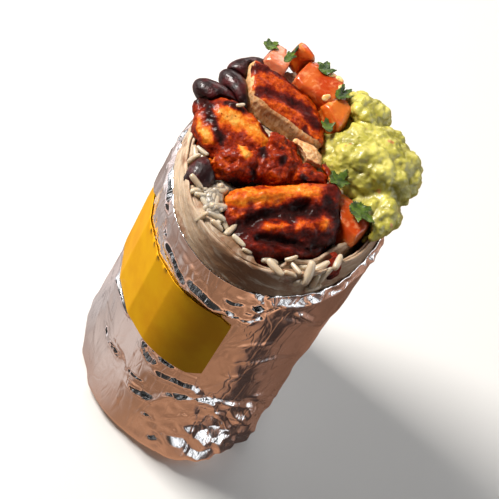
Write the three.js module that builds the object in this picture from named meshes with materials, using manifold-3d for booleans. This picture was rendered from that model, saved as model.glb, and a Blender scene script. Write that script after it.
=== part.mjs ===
// Half a burrito that stands on its closed end in a foil wrap, with its open end filled to a heap.
// Millimetres, +Z up. The origin is the middle of the flat spot that it stands on, and -Y is the front.
import * as THREE from 'three';
import { mergeVertices } from 'three/addons/utils/BufferGeometryUtils.js';
import Module from 'manifold-3d';

const wasm = await Module();
wasm.setup();

// Driving dimensions of the wrap
const WRAP_HALF_WIDTH = 33.7; // along X, at the sticker
const WRAP_HALF_DEPTH = 40.2; // along Y
const FOOT_NARROWER = 1.3; // how much less each half is just above the rounded foot
const TAPER_HEIGHT = 74; // the wrap reaches its full width here
const FOOT_ROUND = 5; // height of the rounded foot
const FOOT_PULL = 3.4; // how far the rounded foot draws in
const FLAT_SPOT = 0.66; // share of the foot that is flat
const FOIL_TOP = 96.3;
const FOIL_TOP_SLOPE = 0.17; // the foil is torn lower at the front
const FOIL_WALL = 1.1;
const FOIL_FLOOR = 6;
const GAP = 0.35; // clearance between neighbours
const CHORD_SHARE = 0.045; // what a lump with few faces lacks of its round form
const BOX_CHORD = 2.8; // how many times as much the plainest box lacks

// The sticker round the front and the left side
const LABEL_TOP = 75.6;
const LABEL_BOTTOM = 45.4;
const LABEL_SLOPE = 0.015; // a little lower at the front
const LABEL_FROM = 150; // degrees round the wrap, on the back left
const LABEL_TO = 284.5; // degrees, just right of the front
const LABEL_THICKNESS = 0.4;
const LABEL_CORNER = 2.4;

// The tortilla
const TORTILLA_TOP = 101.8;
const TORTILLA_TOP_SLOPE = 0.06;
const TORTILLA_WALL = 2.0;
const TORTILLA_FLOOR = 3;
const FLAP_FROM = -74; // degrees, where the rolled end shows at the front
const FLAP_TO = 30;
const FLAP_FOOT = 84;
const FLAP_ROOT = 88; // below this height the rolled end is one with the wall

// The filling
const RICE_CENTRE = 103.6;
const RICE_SLOPE = 0.1;
const RICE_DOME = 2.8;
const RICE_BACK = 4; // how much higher it is heaped under the tomatoes at the back
const RICE_BACK_EDGE = 3.4; // and how it falls again to the rim there
const GRAIN_HALF_LENGTH = 3.7;
const GRAIN_HALF_WIDTH = 1.15;
const GRAIN_SPREAD = 110; // degrees that grains lie off the line of the rim
const GRAIN_TILT = 30; // degrees between the steepest up and the steepest down
const GRAIN_MAY_TOUCH = 0.02; // cubic millimetres
const GRAIN_HOLDS = 0.5; // cubic millimetres that a grain must share with the heap
const GRAIN_TRIES = 1500;
const GRAIN_COUNT = 34;
const ROUND = 42; // points round the wrap
const ROUND_INSIDE = 36; // points round the tortilla and the rice
const SEED = 20;

const DEG = Math.PI / 180;

const finish = (color, roughness, metalness = 0) =>
  new THREE.MeshStandardMaterial({ color, roughness, metalness });
const FOIL = finish(0xb9b6b3, 0.28, 1);
const LABEL = finish(0xe2b01f, 0.55);
const TORTILLA = finish(0xd8c4a6, 0.8);
const RICE = finish(0xdccfae, 0.5);
const GUACAMOLE = finish(0xb9b45a, 0.45);
const CHICKEN = finish(0xb3521f, 0.55);
const CHICKEN_PALE = finish(0xe0b070, 0.6);
const BEAN = finish(0x2a0d10, 0.3);
const TOMATO = finish(0xd8633f, 0.3);
const TOMATO_ORANGE = finish(0xe59a55, 0.3);
const LEAF = finish(0x47601f, 0.6);

// Seeded draws and smooth noise between -1 and 1
function randomSource(seed) {
  let state = seed;
  return () => {
    state = (state + 0x6d2b79f5) | 0;
    let t = Math.imul(state ^ (state >>> 15), 1 | state);
    t = (t + Math.imul(t ^ (t >>> 7), 61 | t)) ^ t;
    return ((t ^ (t >>> 14)) >>> 0) / 4294967296;
  };
}

function lattice(i, j, k) {
  const s = Math.sin(i * 127.1 + j * 311.7 + k * 74.7) * 43758.5453;
  return (s - Math.floor(s)) * 2 - 1;
}

function noise(x, y, z) {
  const [i, j, k] = [Math.floor(x), Math.floor(y), Math.floor(z)];
  const ease = (t) => t * t * (3 - 2 * t);
  const [u, v, w] = [ease(x - i), ease(y - j), ease(z - k)];
  const mix = (a, b, t) => a + (b - a) * t;
  const edge = (dj, dk) => mix(lattice(i, j + dj, k + dk), lattice(i + 1, j + dj, k + dk), u);
  return mix(mix(edge(0, 0), edge(1, 0), v), mix(edge(0, 1), edge(1, 1), v), w);
}

// A share from 0 to 1 as a value passes from one end to the other
function smooth(from, to, value) {
  const t = Math.min(1, Math.max(0, (value - from) / (to - from)));
  return t * t * (3 - 2 * t);
}

// Closed solids from points and triangles, turned outwards
function solidOf(points, triangles) {
  const make = (tris) =>
    new wasm.Manifold(
      new wasm.Mesh({
        numProp: 3,
        vertProperties: new Float32Array(points.flat()),
        triVerts: new Uint32Array(tris.flat()),
      }),
    );
  const solid = make(triangles);
  return solid.volume() < 0 ? make(triangles.map(([a, b, c]) => [a, c, b])) : solid;
}

function solidOfGeometry(geometry) {
  const bare = geometry.clone();
  bare.deleteAttribute('normal');
  bare.deleteAttribute('uv');
  const merged = mergeVertices(bare, 1e-4);
  const { array } = merged.attributes.position;
  const indices = merged.index.array;
  const points = [];
  for (let i = 0; i < array.length; i += 3) points.push([array[i], array[i + 1], array[i + 2]]);
  const triangles = [];
  for (let i = 0; i < indices.length; i += 3) {
    triangles.push([indices[i], indices[i + 1], indices[i + 2]]);
  }
  return solidOf(points, triangles);
}

const largest = (solid) =>
  solid.decompose().reduce((best, body) => (body.volume() > best.volume() ? body : best));

function geometryOf(solid) {
  const mesh = solid.getMesh();
  const positions = new Float32Array(mesh.numVert * 3);
  for (let i = 0; i < mesh.numVert; i += 1) {
    const at = i * mesh.numProp;
    positions.set(mesh.vertProperties.subarray(at, at + 3), i * 3);
  }
  const geometry = new THREE.BufferGeometry();
  geometry.setAttribute('position', new THREE.BufferAttribute(positions, 3));
  geometry.setIndex(new THREE.BufferAttribute(new Uint32Array(mesh.triVerts), 1));
  geometry.computeVertexNormals();
  return geometry;
}

function meshOf(name, solid, material) {
  const mesh = new THREE.Mesh(geometryOf(solid), material);
  mesh.name = name;
  return mesh;
}

// The wrap's outside, as an oval at a height
function drawnIn(height) {
  const low = Math.max(0, 1 - height / FOOT_ROUND);
  const taper = FOOT_NARROWER * (1 - smooth(0, TAPER_HEIGHT, height));
  return taper + FOOT_PULL * (1 - Math.sqrt(1 - low * low));
}

function onWrap(angle, height, inset, scale = 1) {
  const less = inset + drawnIn(height);
  const x = (WRAP_HALF_WIDTH - less) * scale * Math.cos(angle);
  const y = (WRAP_HALF_DEPTH - less) * scale * Math.sin(angle);
  return [x, y, height];
}

const depthAt = (angle) => WRAP_HALF_DEPTH * Math.sin(angle);
const foilTop = (angle) =>
  FOIL_TOP + FOIL_TOP_SLOPE * depthAt(angle) + 0.7 * noise(3 * Math.cos(angle), 3 * Math.sin(angle), 4);
const tortillaTop = (angle) =>
  TORTILLA_TOP +
  TORTILLA_TOP_SLOPE * depthAt(angle) +
  0.9 * noise(2.5 * Math.cos(angle) + 7, 2.5 * Math.sin(angle), 1);

// A closed skin through rings of equal count, shut at both ends by a point
function closedRings(rings, first, last) {
  const count = rings[0].length;
  const points = [first, ...rings.flat(), last];
  const at = (ring, i) => 1 + ring * count + (i % count);
  const triangles = [];
  for (let i = 0; i < count; i += 1) {
    triangles.push([0, at(0, i + 1), at(0, i)]);
    triangles.push([at(rings.length - 1, i), at(rings.length - 1, i + 1), points.length - 1]);
    for (let r = 0; r + 1 < rings.length; r += 1) {
      triangles.push([at(r, i), at(r, i + 1), at(r + 1, i + 1)]);
      triangles.push([at(r, i), at(r + 1, i + 1), at(r + 1, i)]);
    }
  }
  return solidOf(points, triangles);
}

const ringOf = (place, count = ROUND) =>
  Array.from({ length: count }, (_, i) => place((i / count) * 2 * Math.PI));

// A thin sheet with two faces split alike; place(u, v, side) gives its points, side 0 or 1
function sheet(across, along, place) {
  const points = [];
  for (const side of [0, 1]) {
    for (let j = 0; j <= along; j += 1) {
      for (let i = 0; i <= across; i += 1) points.push(place(i / across, j / along, side));
    }
  }
  const row = across + 1;
  const face = row * (along + 1);
  const triangles = [];
  for (let j = 0; j < along; j += 1) {
    for (let i = 0; i < across; i += 1) {
      const a = j * row + i;
      triangles.push([a, a + row, a + 1], [a + 1, a + row, a + row + 1]);
      triangles.push([face + a, face + a + 1, face + a + row]);
      triangles.push([face + a + 1, face + a + row + 1, face + a + row]);
    }
  }
  const rim = [];
  for (let i = 0; i < across; i += 1) rim.push(i);
  for (let j = 0; j < along; j += 1) rim.push(j * row + across);
  for (let i = across; i > 0; i -= 1) rim.push(along * row + i);
  for (let j = along; j > 0; j -= 1) rim.push(j * row);
  rim.forEach((a, n) => {
    const b = rim[(n + 1) % rim.length];
    triangles.push([a, b, face + b], [a, face + b, face + a]);
  });
  return solidOf(points, triangles);
}

// How far the foil's outside stands off the plain oval: crumples, the lap on the right, the hem
// of the tucked end, the wide foot, and a smooth place under the sticker
const STANDS_OFF = 0.3;
const PRESSED = -0.25; // the least that it stands off anywhere, as under the sticker
const WIDE_CRUMPLE = 0.45;
const WIDE_HEIGHT = 9;
const FINE_CRUMPLE = 0.3;
const FINE_HEIGHT = 4.5;
const LAP_FROM = -76; // degrees, where the lap leaves the sticker's corner
const LAP_TO = -52;
const LAP_FOOT = 74; // height of the lap's edge at the sticker's corner
const LAP_RISE = 16;
const LAP_STEP = 0.7;
const HEM_FRONT = 27;
const HEM_WAVE = 5;
const HEM_STEP = 0.75;
const SCREWED_AT = -42; // degrees, where the ends are screwed together
const SCREWED_WIDTH = 34;
const SCREWED_TOP = 30;
const EAR_AT = -22; // degrees, where the screwed ends stick out most
const EAR_WIDTH = 9;
const EAR_HEIGHT = 11;
const EAR_REACH = 1.6;
const SPREAD_AT = -58; // degrees, where the foot stands widest
const SPREAD_WIDTH = 24;
const SPREAD_TOP = 17;
const SPREAD_REACH = 2.4;
const RIM_FOLD = 0.5;

const degreesOf = (angle) => ((angle / DEG) % 360 + 360) % 360;
const signedDegreesOf = (angle) => degreesOf(angle + Math.PI) - 180;
const hill = (middle, width, value) => Math.exp(-(((value - middle) / width) ** 2));

function underLabel(angle, height) {
  const degrees = degreesOf(angle);
  const y = depthAt(angle);
  const left = smooth(LABEL_FROM - 12, LABEL_FROM - 4, degrees);
  const right = 1 - smooth(LABEL_TO + 2, LABEL_TO + 9, degrees);
  const low = LABEL_BOTTOM + LABEL_SLOPE * y;
  const high = LABEL_TOP + LABEL_SLOPE * y;
  return left * right * smooth(low - 7, low - 3, height) * (1 - smooth(high + 3, high + 7, height));
}

function crumple(angle, height) {
  const [c, s] = [Math.cos(angle), Math.sin(angle)];
  const degrees = signedDegreesOf(angle);
  let out = STANDS_OFF + WIDE_CRUMPLE * noise(4.2 * c, 4.2 * s, height / WIDE_HEIGHT);
  out += FINE_CRUMPLE * noise(9 * c + 5, 9 * s, height / FINE_HEIGHT);
  const lapHeight = LAP_FOOT + LAP_RISE * smooth(LAP_FROM, LAP_TO, degrees);
  const lapped = smooth(LAP_FROM - 2, LAP_FROM + 3, degrees) * (1 - smooth(12, 30, degrees));
  out += LAP_STEP * lapped * (1 - smooth(lapHeight - 1, lapHeight + 2, height));
  const hem = HEM_FRONT + HEM_WAVE * noise(1.7 * c + 2, 1.7 * s, 9);
  out -= HEM_STEP * (1 - smooth(hem - 1.5, hem + 1.5, height));
  const screwed = hill(SCREWED_AT, SCREWED_WIDTH, degrees) * (1 - smooth(14, SCREWED_TOP, height));
  out += screwed * (0.9 + 1.1 * noise(8 * c, 8 * s, height / 4));
  out += EAR_REACH * hill(EAR_AT, EAR_WIDTH, degrees) * hill(EAR_HEIGHT, 8, height);
  out += RIM_FOLD * (1 - smooth(0, 4, foilTop(angle) - height));
  out = Math.max(PRESSED, out);
  return out + (PRESSED - out) * underLabel(angle, height);
}

function footSpread(angle, height) {
  const wide = SPREAD_REACH * hill(SPREAD_AT, SPREAD_WIDTH, signedDegreesOf(angle));
  return wide * (1 - smooth(3, SPREAD_TOP, height)) * smooth(-0.8, 1.6, height);
}

function foilWrap() {
  const rings = [];
  const flat = (share) => ringOf((t) => onWrap(t, 0, 0, share));
  rings.push(flat(FLAT_SPOT / 2), flat(FLAT_SPOT), flat((1 + FLAT_SPOT) / 2));
  for (const height of [0.4, 2.2]) {
    rings.push(ringOf((t) => onWrap(t, height, -0.3 * crumple(t, height) - footSpread(t, height))));
  }
  const wallRings = 14;
  for (let n = 0; n <= wallRings; n += 1) {
    rings.push(
      ringOf((t) => {
        const height = FOOT_ROUND + (foilTop(t) - FOOT_ROUND) * (n / wallRings);
        return onWrap(t, height, -crumple(t, height) - footSpread(t, height));
      }),
    );
  }
  for (const share of [1, 0.55, 0.1]) {
    rings.push(ringOf((t) => onWrap(t, foilTop(t) * share, FOIL_WALL)));
  }
  rings.push(ringOf((t) => [...onWrap(t, FOIL_FLOOR, FOIL_WALL + 2, 0.8).slice(0, 2), FOIL_FLOOR]));
  return closedRings(rings, [0, 0, 0], [0, 0, FOIL_FLOOR]);
}

// The sticker follows the oval just outside the foil
function label() {
  const across = 18;
  const along = 2;
  return sheet(across, along, (u, v, side) => {
    const angle = (LABEL_FROM + (LABEL_TO - LABEL_FROM) * u) * DEG;
    const arc = (LABEL_TO - LABEL_FROM) * DEG * WRAP_HALF_WIDTH;
    const past = Math.max(0, LABEL_CORNER - Math.min(u, 1 - u) * arc);
    const corner = LABEL_CORNER - Math.sqrt(LABEL_CORNER ** 2 - past ** 2);
    const y = depthAt(angle);
    const low = LABEL_BOTTOM + LABEL_SLOPE * y + corner;
    const high = LABEL_TOP + LABEL_SLOPE * y - corner;
    return onWrap(angle, low + (high - low) * v, -GAP - LABEL_THICKNESS * side);
  });
}

// A cup with a floor, and the rolled end as a second wall inside it at the front right
const TORTILLA_INSET = FOIL_WALL + GAP;
const FILLING_INSET = TORTILLA_INSET + TORTILLA_WALL + GAP;
const TORTILLA_FOOT = FOIL_FLOOR + GAP + 0.4;

const LEAN = 1.1; // how far the rim leans in
const LEAN_DEPTH = 9;

function lean(angle, height) {
  const share = 0.6 + 0.5 * noise(3 * Math.cos(angle), 3 * Math.sin(angle), 6);
  return LEAN * smooth(LEAN_DEPTH, 0, tortillaTop(angle) - height) * share;
}

function tortillaCup(grow = 0) {
  const inner = (place) => ringOf(place, ROUND_INSIDE);
  const rings = [inner((t) => [...onWrap(t, TORTILLA_FOOT, 9).slice(0, 2), TORTILLA_FOOT - grow])];
  for (const share of [0.14, 0.5, 0.8, 0.9, 1]) {
    rings.push(
      inner((t) => {
        const height = tortillaTop(t) * share + (share === 1 ? grow - 0.5 : 0);
        const bump = 0.25 + 0.25 * noise(6 * Math.cos(t), 6 * Math.sin(t), height / 8);
        return onWrap(t, height, TORTILLA_INSET - grow + bump + Math.max(0, lean(t, height)));
      }),
    );
  }
  for (const share of [1, 0.9, 0.5, 0.12]) {
    rings.push(
      inner((t) => {
        const height = tortillaTop(t) * share + (share === 1 ? grow : 0);
        return onWrap(t, height, TORTILLA_INSET + TORTILLA_WALL + grow + Math.max(0, lean(t, height)));
      }),
    );
  }
  const floor = TORTILLA_FOOT + TORTILLA_FLOOR + grow;
  return closedRings(rings, [0, 0, TORTILLA_FOOT - grow], [0, 0, floor]);
}

const FLAP_WALL = 1.7;
const FLAP_RISE = 1.2; // above the rim
const FLAP_RAGGED = 1.3;
const FLAP_FALL = 3; // how far its top comes down at the right end
const FLAP_ROOTED = 1.2; // how deep its foot reaches into the wall

function rolledEnd(grow = 0) {
  return sheet(14, 5, (u, v, side) => {
    const from = FLAP_FROM - grow * 2 * (1 - u);
    const angle = (from + (FLAP_TO + grow * 2 - from) * u) * DEG;
    const ragged = FLAP_RAGGED * noise(u * 6 + 11, 2, 5) - FLAP_FALL * smooth(0.82, 1, u);
    const top = tortillaTop(angle) + FLAP_RISE + ragged + grow;
    const height = FLAP_FOOT - grow + (top - FLAP_FOOT + grow) * v;
    const apart = TORTILLA_WALL + GAP + 0.7 * smooth(FLAP_ROOT, FLAP_ROOT + 6, height);
    const rooted = height < FLAP_ROOT ? FLAP_ROOTED : 0;
    const near = TORTILLA_INSET + Math.max(0, lean(angle, height)) + apart - rooted - grow;
    return onWrap(angle, height, near + (FLAP_WALL + rooted + 2 * grow) * side);
  });
}

// The foil's wall with its clearance, for what hangs over the rim
const FOIL_REACH = 2.2; // the most that the foil stands off the plain oval, with its clearance
const FOIL_OVER = GAP + 0.2;

function foilRoom() {
  const wall = (inset, share, rise) =>
    ringOf((t) => onWrap(t, foilTop(t) * share + rise, inset), ROUND_INSIDE);
  const inside = TORTILLA_INSET + TORTILLA_WALL / 2;
  const outside = [wall(-FOIL_REACH, 0.02, 0), wall(-FOIL_REACH, 1, FOIL_OVER)];
  return closedRings([...outside, wall(inside, 1, FOIL_OVER), wall(inside, 0.05, 0)], [0, 0, 2], [0, 0, 5]);
}

const tortillaSolid = tortillaCup().add(rolledEnd());
const wallRoom = tortillaCup(GAP).add(rolledEnd(GAP)).add(foilRoom());

// A rounded lump: half sizes, how square it is, roughness, and how it lies.
// turn is [yaw about Z, tilt about X, tilt about Y] in degrees, in that order.
const BOXY = 3; // from this squareness on, a lump starts as a box

function lump(shape, grow = 0) {
  const { centre, half, turn = [0, 0, 0], square = 2.2, rough = 0, grain = 5, detail = 2 } = shape;
  const { bend = 0, skew = 0 } = shape;
  const split = 2 * detail;
  const geometry =
    square < BOXY
      ? new THREE.IcosahedronGeometry(1, detail)
      : new THREE.BoxGeometry(2, 2, 2, split, split, split);
  const position = geometry.attributes.position;
  const matrix = new THREE.Matrix4()
    .makeRotationY(turn[2] * DEG)
    .multiply(new THREE.Matrix4().makeRotationX(turn[1] * DEG))
    .multiply(new THREE.Matrix4().makeRotationZ(turn[0] * DEG));
  const point = new THREE.Vector3();
  for (let i = 0; i < position.count; i += 1) {
    point.fromBufferAttribute(position, i);
    const length = ['x', 'y', 'z'].reduce((sum, axis) => sum + Math.abs(point[axis]) ** square, 0);
    const reach = length ** (-1 / square);
    const [x, y, z] = [point.x * reach * half[0], point.y * reach * half[1], point.z * reach * half[2]];
    point.normalize();
    const [cx, cy, cz] = centre;
    const out = grow + rough * noise((x + cx) / grain, (y + cy) / grain, (z + cz) / grain);
    const bent = y + point.y * out + bend * (x / half[0]) ** 2;
    point.set(x + point.x * out + skew * y, bent, z + point.z * out);
    point.applyMatrix4(matrix);
    position.setXYZ(i, point.x + cx, point.y + cy, point.z + cz);
  }
  return solidOfGeometry(geometry);
}

const clump = (shapes) => shapes.map((shape) => lump(shape)).reduce((sum, solid) => sum.add(solid));

// The plainer, larger form that a lump's neighbours are cut by, and the plainest one, which the
// rice under it is cut by, where no one sees the wider gap
function roomFor(shapes, plainest = false) {
  const rooms = shapes.map((shape) => {
    const round = (shape.square ?? 0) < BOXY;
    const lost = round ? 1 : Number(plainest) * BOX_CHORD;
    const spare = GAP + 0.7 * (shape.rough ?? 0) + CHORD_SHARE * Math.max(...shape.half) * lost;
    return lump({ ...shape, rough: 0, detail: round || plainest ? 1 : shape.detail }, spare);
  });
  return rooms.reduce((sum, solid) => sum.add(solid));
}

// The pieces of the heap, largest claim on the space first
const PIECES = [
  {
    name: 'chicken_front',
    material: CHICKEN,
    lumps: [
      {
        centre: [4.8, -19, 100.4], half: [17.4, 11, 4.5],
        turn: [37, 22, 0], square: 5, rough: 0.8, skew: 0.2, detail: 3,
      },
      { centre: [3.2, -30, 97], half: [6.4, 4.2, 3.4], turn: [20, 30, 0], square: 2.6, rough: 0.7 },
    ],
  },
  {
    name: 'chicken_top',
    material: CHICKEN,
    lumps: [
      {
        centre: [-12.4, 14.8, 108.4], half: [13.6, 6.8, 5],
        turn: [-3, 6, 2], square: 6, rough: 0.4, skew: -0.62, detail: 3,
      },
    ],
  },
  {
    name: 'chicken_left',
    material: CHICKEN,
    lumps: [
      {
        centre: [-21, -3.2, 104], half: [12.4, 9.6, 5],
        turn: [-20, 27, 0], square: 2.8, rough: 0.8, detail: 3,
      },
      { centre: [-31.2, 0.6, 104.4], half: [5.2, 3.2, 3], turn: [-10, 10, 0], rough: 0.5, detail: 1 },
    ],
  },
  {
    name: 'chicken_middle',
    material: CHICKEN,
    lumps: [
      { centre: [-15.6, -11, 103.2], half: [7.4, 6.6, 5.6], turn: [20, 15, 0], rough: 1.3, grain: 3.5 },
      {
        centre: [-6.8, -3.8, 105.2], half: [9.4, 8, 5],
        turn: [15, 15, 0], rough: 1.4, grain: 3.5, detail: 3,
      },
      { centre: [5, -3.2, 105.8], half: [6, 5, 3.4], turn: [10, 10, 0], rough: 1.1, grain: 3.5 },
      { centre: [-7.4, -0.4, 108.6], half: [3.4, 3.2, 3], rough: 0.8, grain: 3, detail: 1 },
    ],
  },
  {
    name: 'chicken_chip',
    material: CHICKEN_PALE,
    lumps: [
      {
        centre: [0.8, 3.4, 107], half: [5.6, 3.4, 2.8],
        turn: [6, 12, 0], square: 3, rough: 0.4,
      },
    ],
  },
  {
    name: 'chicken_shreds',
    material: CHICKEN,
    lumps: [
      {
        centre: [8.2, 2, 107.4], half: [4.2, 2.2, 2],
        turn: [-50, 8, 0], rough: 0.7, grain: 3, detail: 1,
      },
      {
        centre: [10.4, -1.8, 107.4], half: [3.8, 1.9, 1.7],
        turn: [-62, 12, 0], rough: 0.6, grain: 3, detail: 1,
      },
    ],
  },
  {
    name: 'chicken_low',
    material: CHICKEN,
    lumps: [
      {
        centre: [22.4, -21.4, 98.4], half: [4.6, 4.2, 3.6],
        turn: [35, 20, 0], rough: 0.7, square: 2.6,
      },
    ],
  },
  {
    name: 'bean_1',
    material: BEAN,
    lumps: [{ centre: [-31.8, 6.6, 105.9], half: [7.3, 3.9, 3.7], turn: [4, 4, 0], bend: 0.9 }],
  },
  {
    name: 'bean_2',
    material: BEAN,
    lumps: [{ centre: [-27.6, 12.8, 107.4], half: [7, 3.7, 3.6], turn: [-34, 0, 0], bend: -0.8 }],
  },
  {
    name: 'bean_3',
    material: BEAN,
    lumps: [{ centre: [-27.4, 21.2, 108.2], half: [7, 4, 3.9], turn: [52, 0, 0], bend: 0.8 }],
  },
  {
    name: 'bean_4',
    material: BEAN,
    lumps: [{ centre: [-22.2, -18.8, 99.8], half: [6, 4.6, 4.5], turn: [84, 20, 0], bend: 0.5 }],
  },
  {
    name: 'tomato_big',
    material: TOMATO,
    lumps: [
      {
        centre: [-6.8, 26.8, 112.4], half: [8.4, 6, 4.8],
        turn: [-8, 14, 0], square: 3, rough: 0.4,
      },
    ],
  },
  {
    name: 'tomato_orange',
    material: TOMATO_ORANGE,
    lumps: [
      {
        centre: [-15, 31.8, 113.4], half: [5.4, 2.8, 4.8],
        turn: [-20, 10, 8], square: 3, rough: 0.3,
      },
    ],
  },
  {
    name: 'tomato_pale',
    material: TOMATO,
    lumps: [
      {
        centre: [-21.4, 27.5, 111.3], half: [4.6, 6, 3.4],
        turn: [8, 12, 0], square: 3, rough: 0.3,
      },
    ],
  },
  {
    name: 'tomato_right',
    material: TOMATO_ORANGE,
    lumps: [
      {
        centre: [2.4, 20.8, 111.4], half: [5.2, 5.6, 4.4],
        turn: [-20, 12, 0], square: 3, rough: 0.3,
      },
    ],
  },
  {
    name: 'tomato_front',
    material: TOMATO,
    lumps: [
      {
        centre: [20.8, -7.2, 102.6], half: [8.6, 6.4, 4.4],
        turn: [-24, 18, 0], square: 3, rough: 0.4,
      },
    ],
  },
];

const GUACAMOLE_LUMPS = [
  { centre: [18.6, 16.8, 106.4], half: [16, 14, 8.6], rough: 1.5, grain: 3.6, detail: 4 },
  { centre: [9.6, 28.6, 111], half: [7.6, 6.6, 5.6], rough: 1.2, grain: 3.4 },
  { centre: [27.6, 2.4, 102.6], half: [7.6, 10, 6.4], turn: [-10, 0, 0], rough: 1.3, grain: 3.4 },
];

// Each piece gives way to the ones before it, to the tortilla and to the foil
function heapOf() {
  const done = [];
  let taken = wallRoom;
  let beds = wallRoom;
  const lay = (name, material, lumps) => {
    done.push({ name, material, solid: largest(clump(lumps).subtract(taken)) });
    taken = taken.add(roomFor(lumps));
    beds = beds.add(roomFor(lumps, true));
  };
  PIECES.forEach(({ name, material, lumps }) => lay(name, material, lumps));
  lay('guacamole', GUACAMOLE, GUACAMOLE_LUMPS);
  return { done, taken, beds };
}

// The rice fills the tortilla up to a dome that is higher at the back
function riceTop(x, y) {
  const across = (x / WRAP_HALF_WIDTH) ** 2 + (y / WRAP_HALF_DEPTH) ** 2;
  const back = RICE_BACK * smooth(0, 22, y) - RICE_BACK_EDGE * smooth(0.72, 1, across) * smooth(0, 12, y);
  return RICE_CENTRE + RICE_SLOPE * y - RICE_DOME * across + back + 0.5 * noise(x / 4, y / 4, 3);
}

function riceCore() {
  const inner = (place) => ringOf(place, ROUND_INSIDE);
  const floor = TORTILLA_FOOT + TORTILLA_FLOOR + 4;
  const rings = [inner((t) => [...onWrap(t, 20, FILLING_INSET + 4, 0.9).slice(0, 2), floor])];
  for (const height of [24, 76]) rings.push(inner((t) => onWrap(t, height, FILLING_INSET + 0.2)));
  for (const share of [1, 0.8, 0.5]) {
    rings.push(
      inner((t) => {
        const [x, y] = onWrap(t, 90, FILLING_INSET + 1.2, share);
        return [x, y, riceTop(x, y)];
      }),
    );
  }
  return closedRings(rings, [0, 0, floor], [0, 0, riceTop(0, 0)]);
}

const grainShape = (x, y, z, yaw, tilt) => ({
  centre: [x, y, z],
  half: [GRAIN_HALF_LENGTH, GRAIN_HALF_WIDTH, GRAIN_HALF_WIDTH],
  turn: [yaw, tilt, 0],
  square: 2.4,
  detail: 0,
});

// Grains are fused on round the edge, wherever the rice shows and no other piece is in the way
function riceHeap(taken, beds) {
  const random = randomSource(SEED);
  const bare = largest(riceCore().subtract(beds));
  let heap = bare;
  let placed = 0;
  for (let n = 0; n < GRAIN_TRIES && placed < GRAIN_COUNT; n += 1) {
    const angle = random() * 2 * Math.PI;
    const [x, y] = onWrap(angle, RICE_CENTRE, FILLING_INSET + 2, 0.62 + 0.36 * random());
    const yaw = angle / DEG + 90 + (random() - 0.5) * GRAIN_SPREAD;
    const height = riceTop(x, y) + 0.3 + 0.6 * random();
    const grain = lump(grainShape(x, y, height, yaw, (random() - 0.5) * GRAIN_TILT));
    const free = grain.intersect(taken).volume() < GRAIN_MAY_TOUCH;
    if (free && grain.intersect(bare).volume() > GRAIN_HOLDS) {
      heap = heap.add(grain);
      placed += 1;
    }
  }
  return largest(heap);
}

// Coriander leaves, laid on what is under them
const LEAVES = [
  { at: [-26, 29.6], length: 5, width: 4.2, yaw: 60 },
  { at: [-18.9, 26.4], length: 8.6, width: 2, yaw: 84 },
  { at: [-7.6, 30.4], length: 6.4, width: 4.6, yaw: 100 },
  { at: [0.4, 25.6], length: 7.4, width: 3, yaw: 66 },
  { at: [2, 13.2], length: 5.4, width: 3.4, yaw: 120 },
  { at: [12.8, -0.4], length: 8.6, width: 5.2, yaw: 80 },
  { at: [22.6, -4.6], length: 9.6, width: 6.2, yaw: -12 },
];
const LEAF_THICKNESS = 0.4;
const LEAF_LIFT = 0.6; // above what it lies on
const LEAF_CLEAR = 1; // it also clears what is this far beside it
const LEAF_SAG = 2.2; // the most that it hangs down from its highest rest
const LEAF_WAVE = 0.9;
const LEAF_DROP = 200; // a height above everything
const LEAF_LOBES = 0.32;
const LEAF_STALK = 0.22; // its width at the stalk, as a share

function leafOn(meshes, { at, length, width, yaw }) {
  const caster = new THREE.Raycaster();
  const down = new THREE.Vector3(0, 0, -1);
  const drop = (x, y) => {
    caster.set(new THREE.Vector3(x, y, LEAF_DROP), down);
    const hit = caster.intersectObjects(meshes)[0];
    return hit ? hit.point.z : -Infinity;
  };
  const nearby = [[0, 0], [1, 0], [-1, 0], [0, 1], [0, -1]];
  const under = (x, y) =>
    Math.max(...nearby.map(([dx, dy]) => drop(x + dx * LEAF_CLEAR, y + dy * LEAF_CLEAR)));
  const [c, s] = [Math.cos(yaw * DEG), Math.sin(yaw * DEG)];
  const plan = (u, v) => {
    const along = (u - 0.5) * length;
    const lobes = 1 + LEAF_LOBES * Math.cos(6 * Math.PI * u);
    const belly = Math.sin(Math.PI * Math.min(1, u * 1.08)) * lobes;
    const across = (v - 0.5) * width * (LEAF_STALK + (1 - LEAF_STALK) * belly);
    return [at[0] + along * c - across * s, at[1] + along * s + across * c];
  };
  const heights = [];
  for (let i = 0; i <= 6; i += 1) {
    for (let j = 0; j <= 2; j += 1) heights.push(under(...plan(i / 6, j / 2)));
  }
  const rest = Math.max(...heights);
  return sheet(6, 2, (u, v, side) => {
    const [x, y] = plan(u, v);
    const low = Math.max(under(x, y), rest - LEAF_SAG);
    const wave = 0.5 * LEAF_WAVE * (1 + Math.sin(5 * u + 3 * v));
    return [x, y, low + LEAF_LIFT + wave + LEAF_THICKNESS * side];
  });
}

const { done: heap, taken: heapRoom, beds: heapBeds } = heapOf();
const burrito = new THREE.Group();
burrito.name = 'burrito';
burrito.add(meshOf('foil_wrap', foilWrap(), FOIL));
burrito.add(meshOf('label', label(), LABEL));
burrito.add(meshOf('tortilla', tortillaSolid, TORTILLA));
const laid = heap.map(({ name, material, solid }) => meshOf(name, solid, material));
laid.forEach((mesh) => burrito.add(mesh));
burrito.add(meshOf('rice', riceHeap(heapRoom, heapBeds), RICE));
LEAVES.forEach((leaf, n) => burrito.add(meshOf(`leaf_${n + 1}`, leafOn(laid, leaf), LEAF)));

export default burrito;
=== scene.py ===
# %% [markdown]
# # Half a burrito in its foil
#
# The object stands on its closed end: a foil wrap with a yellow sticker, a flour tortilla
# inside it, and a heap of rice, chicken, beans, tomato and guacamole on top. The CAD model
# gives every piece its place and size. This lesson gives each one its real surface.
#
# First the CAD model is loaded as a fixed frame. The looks may not grow out of it.

# %% Load the frame
import math
import random

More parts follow.
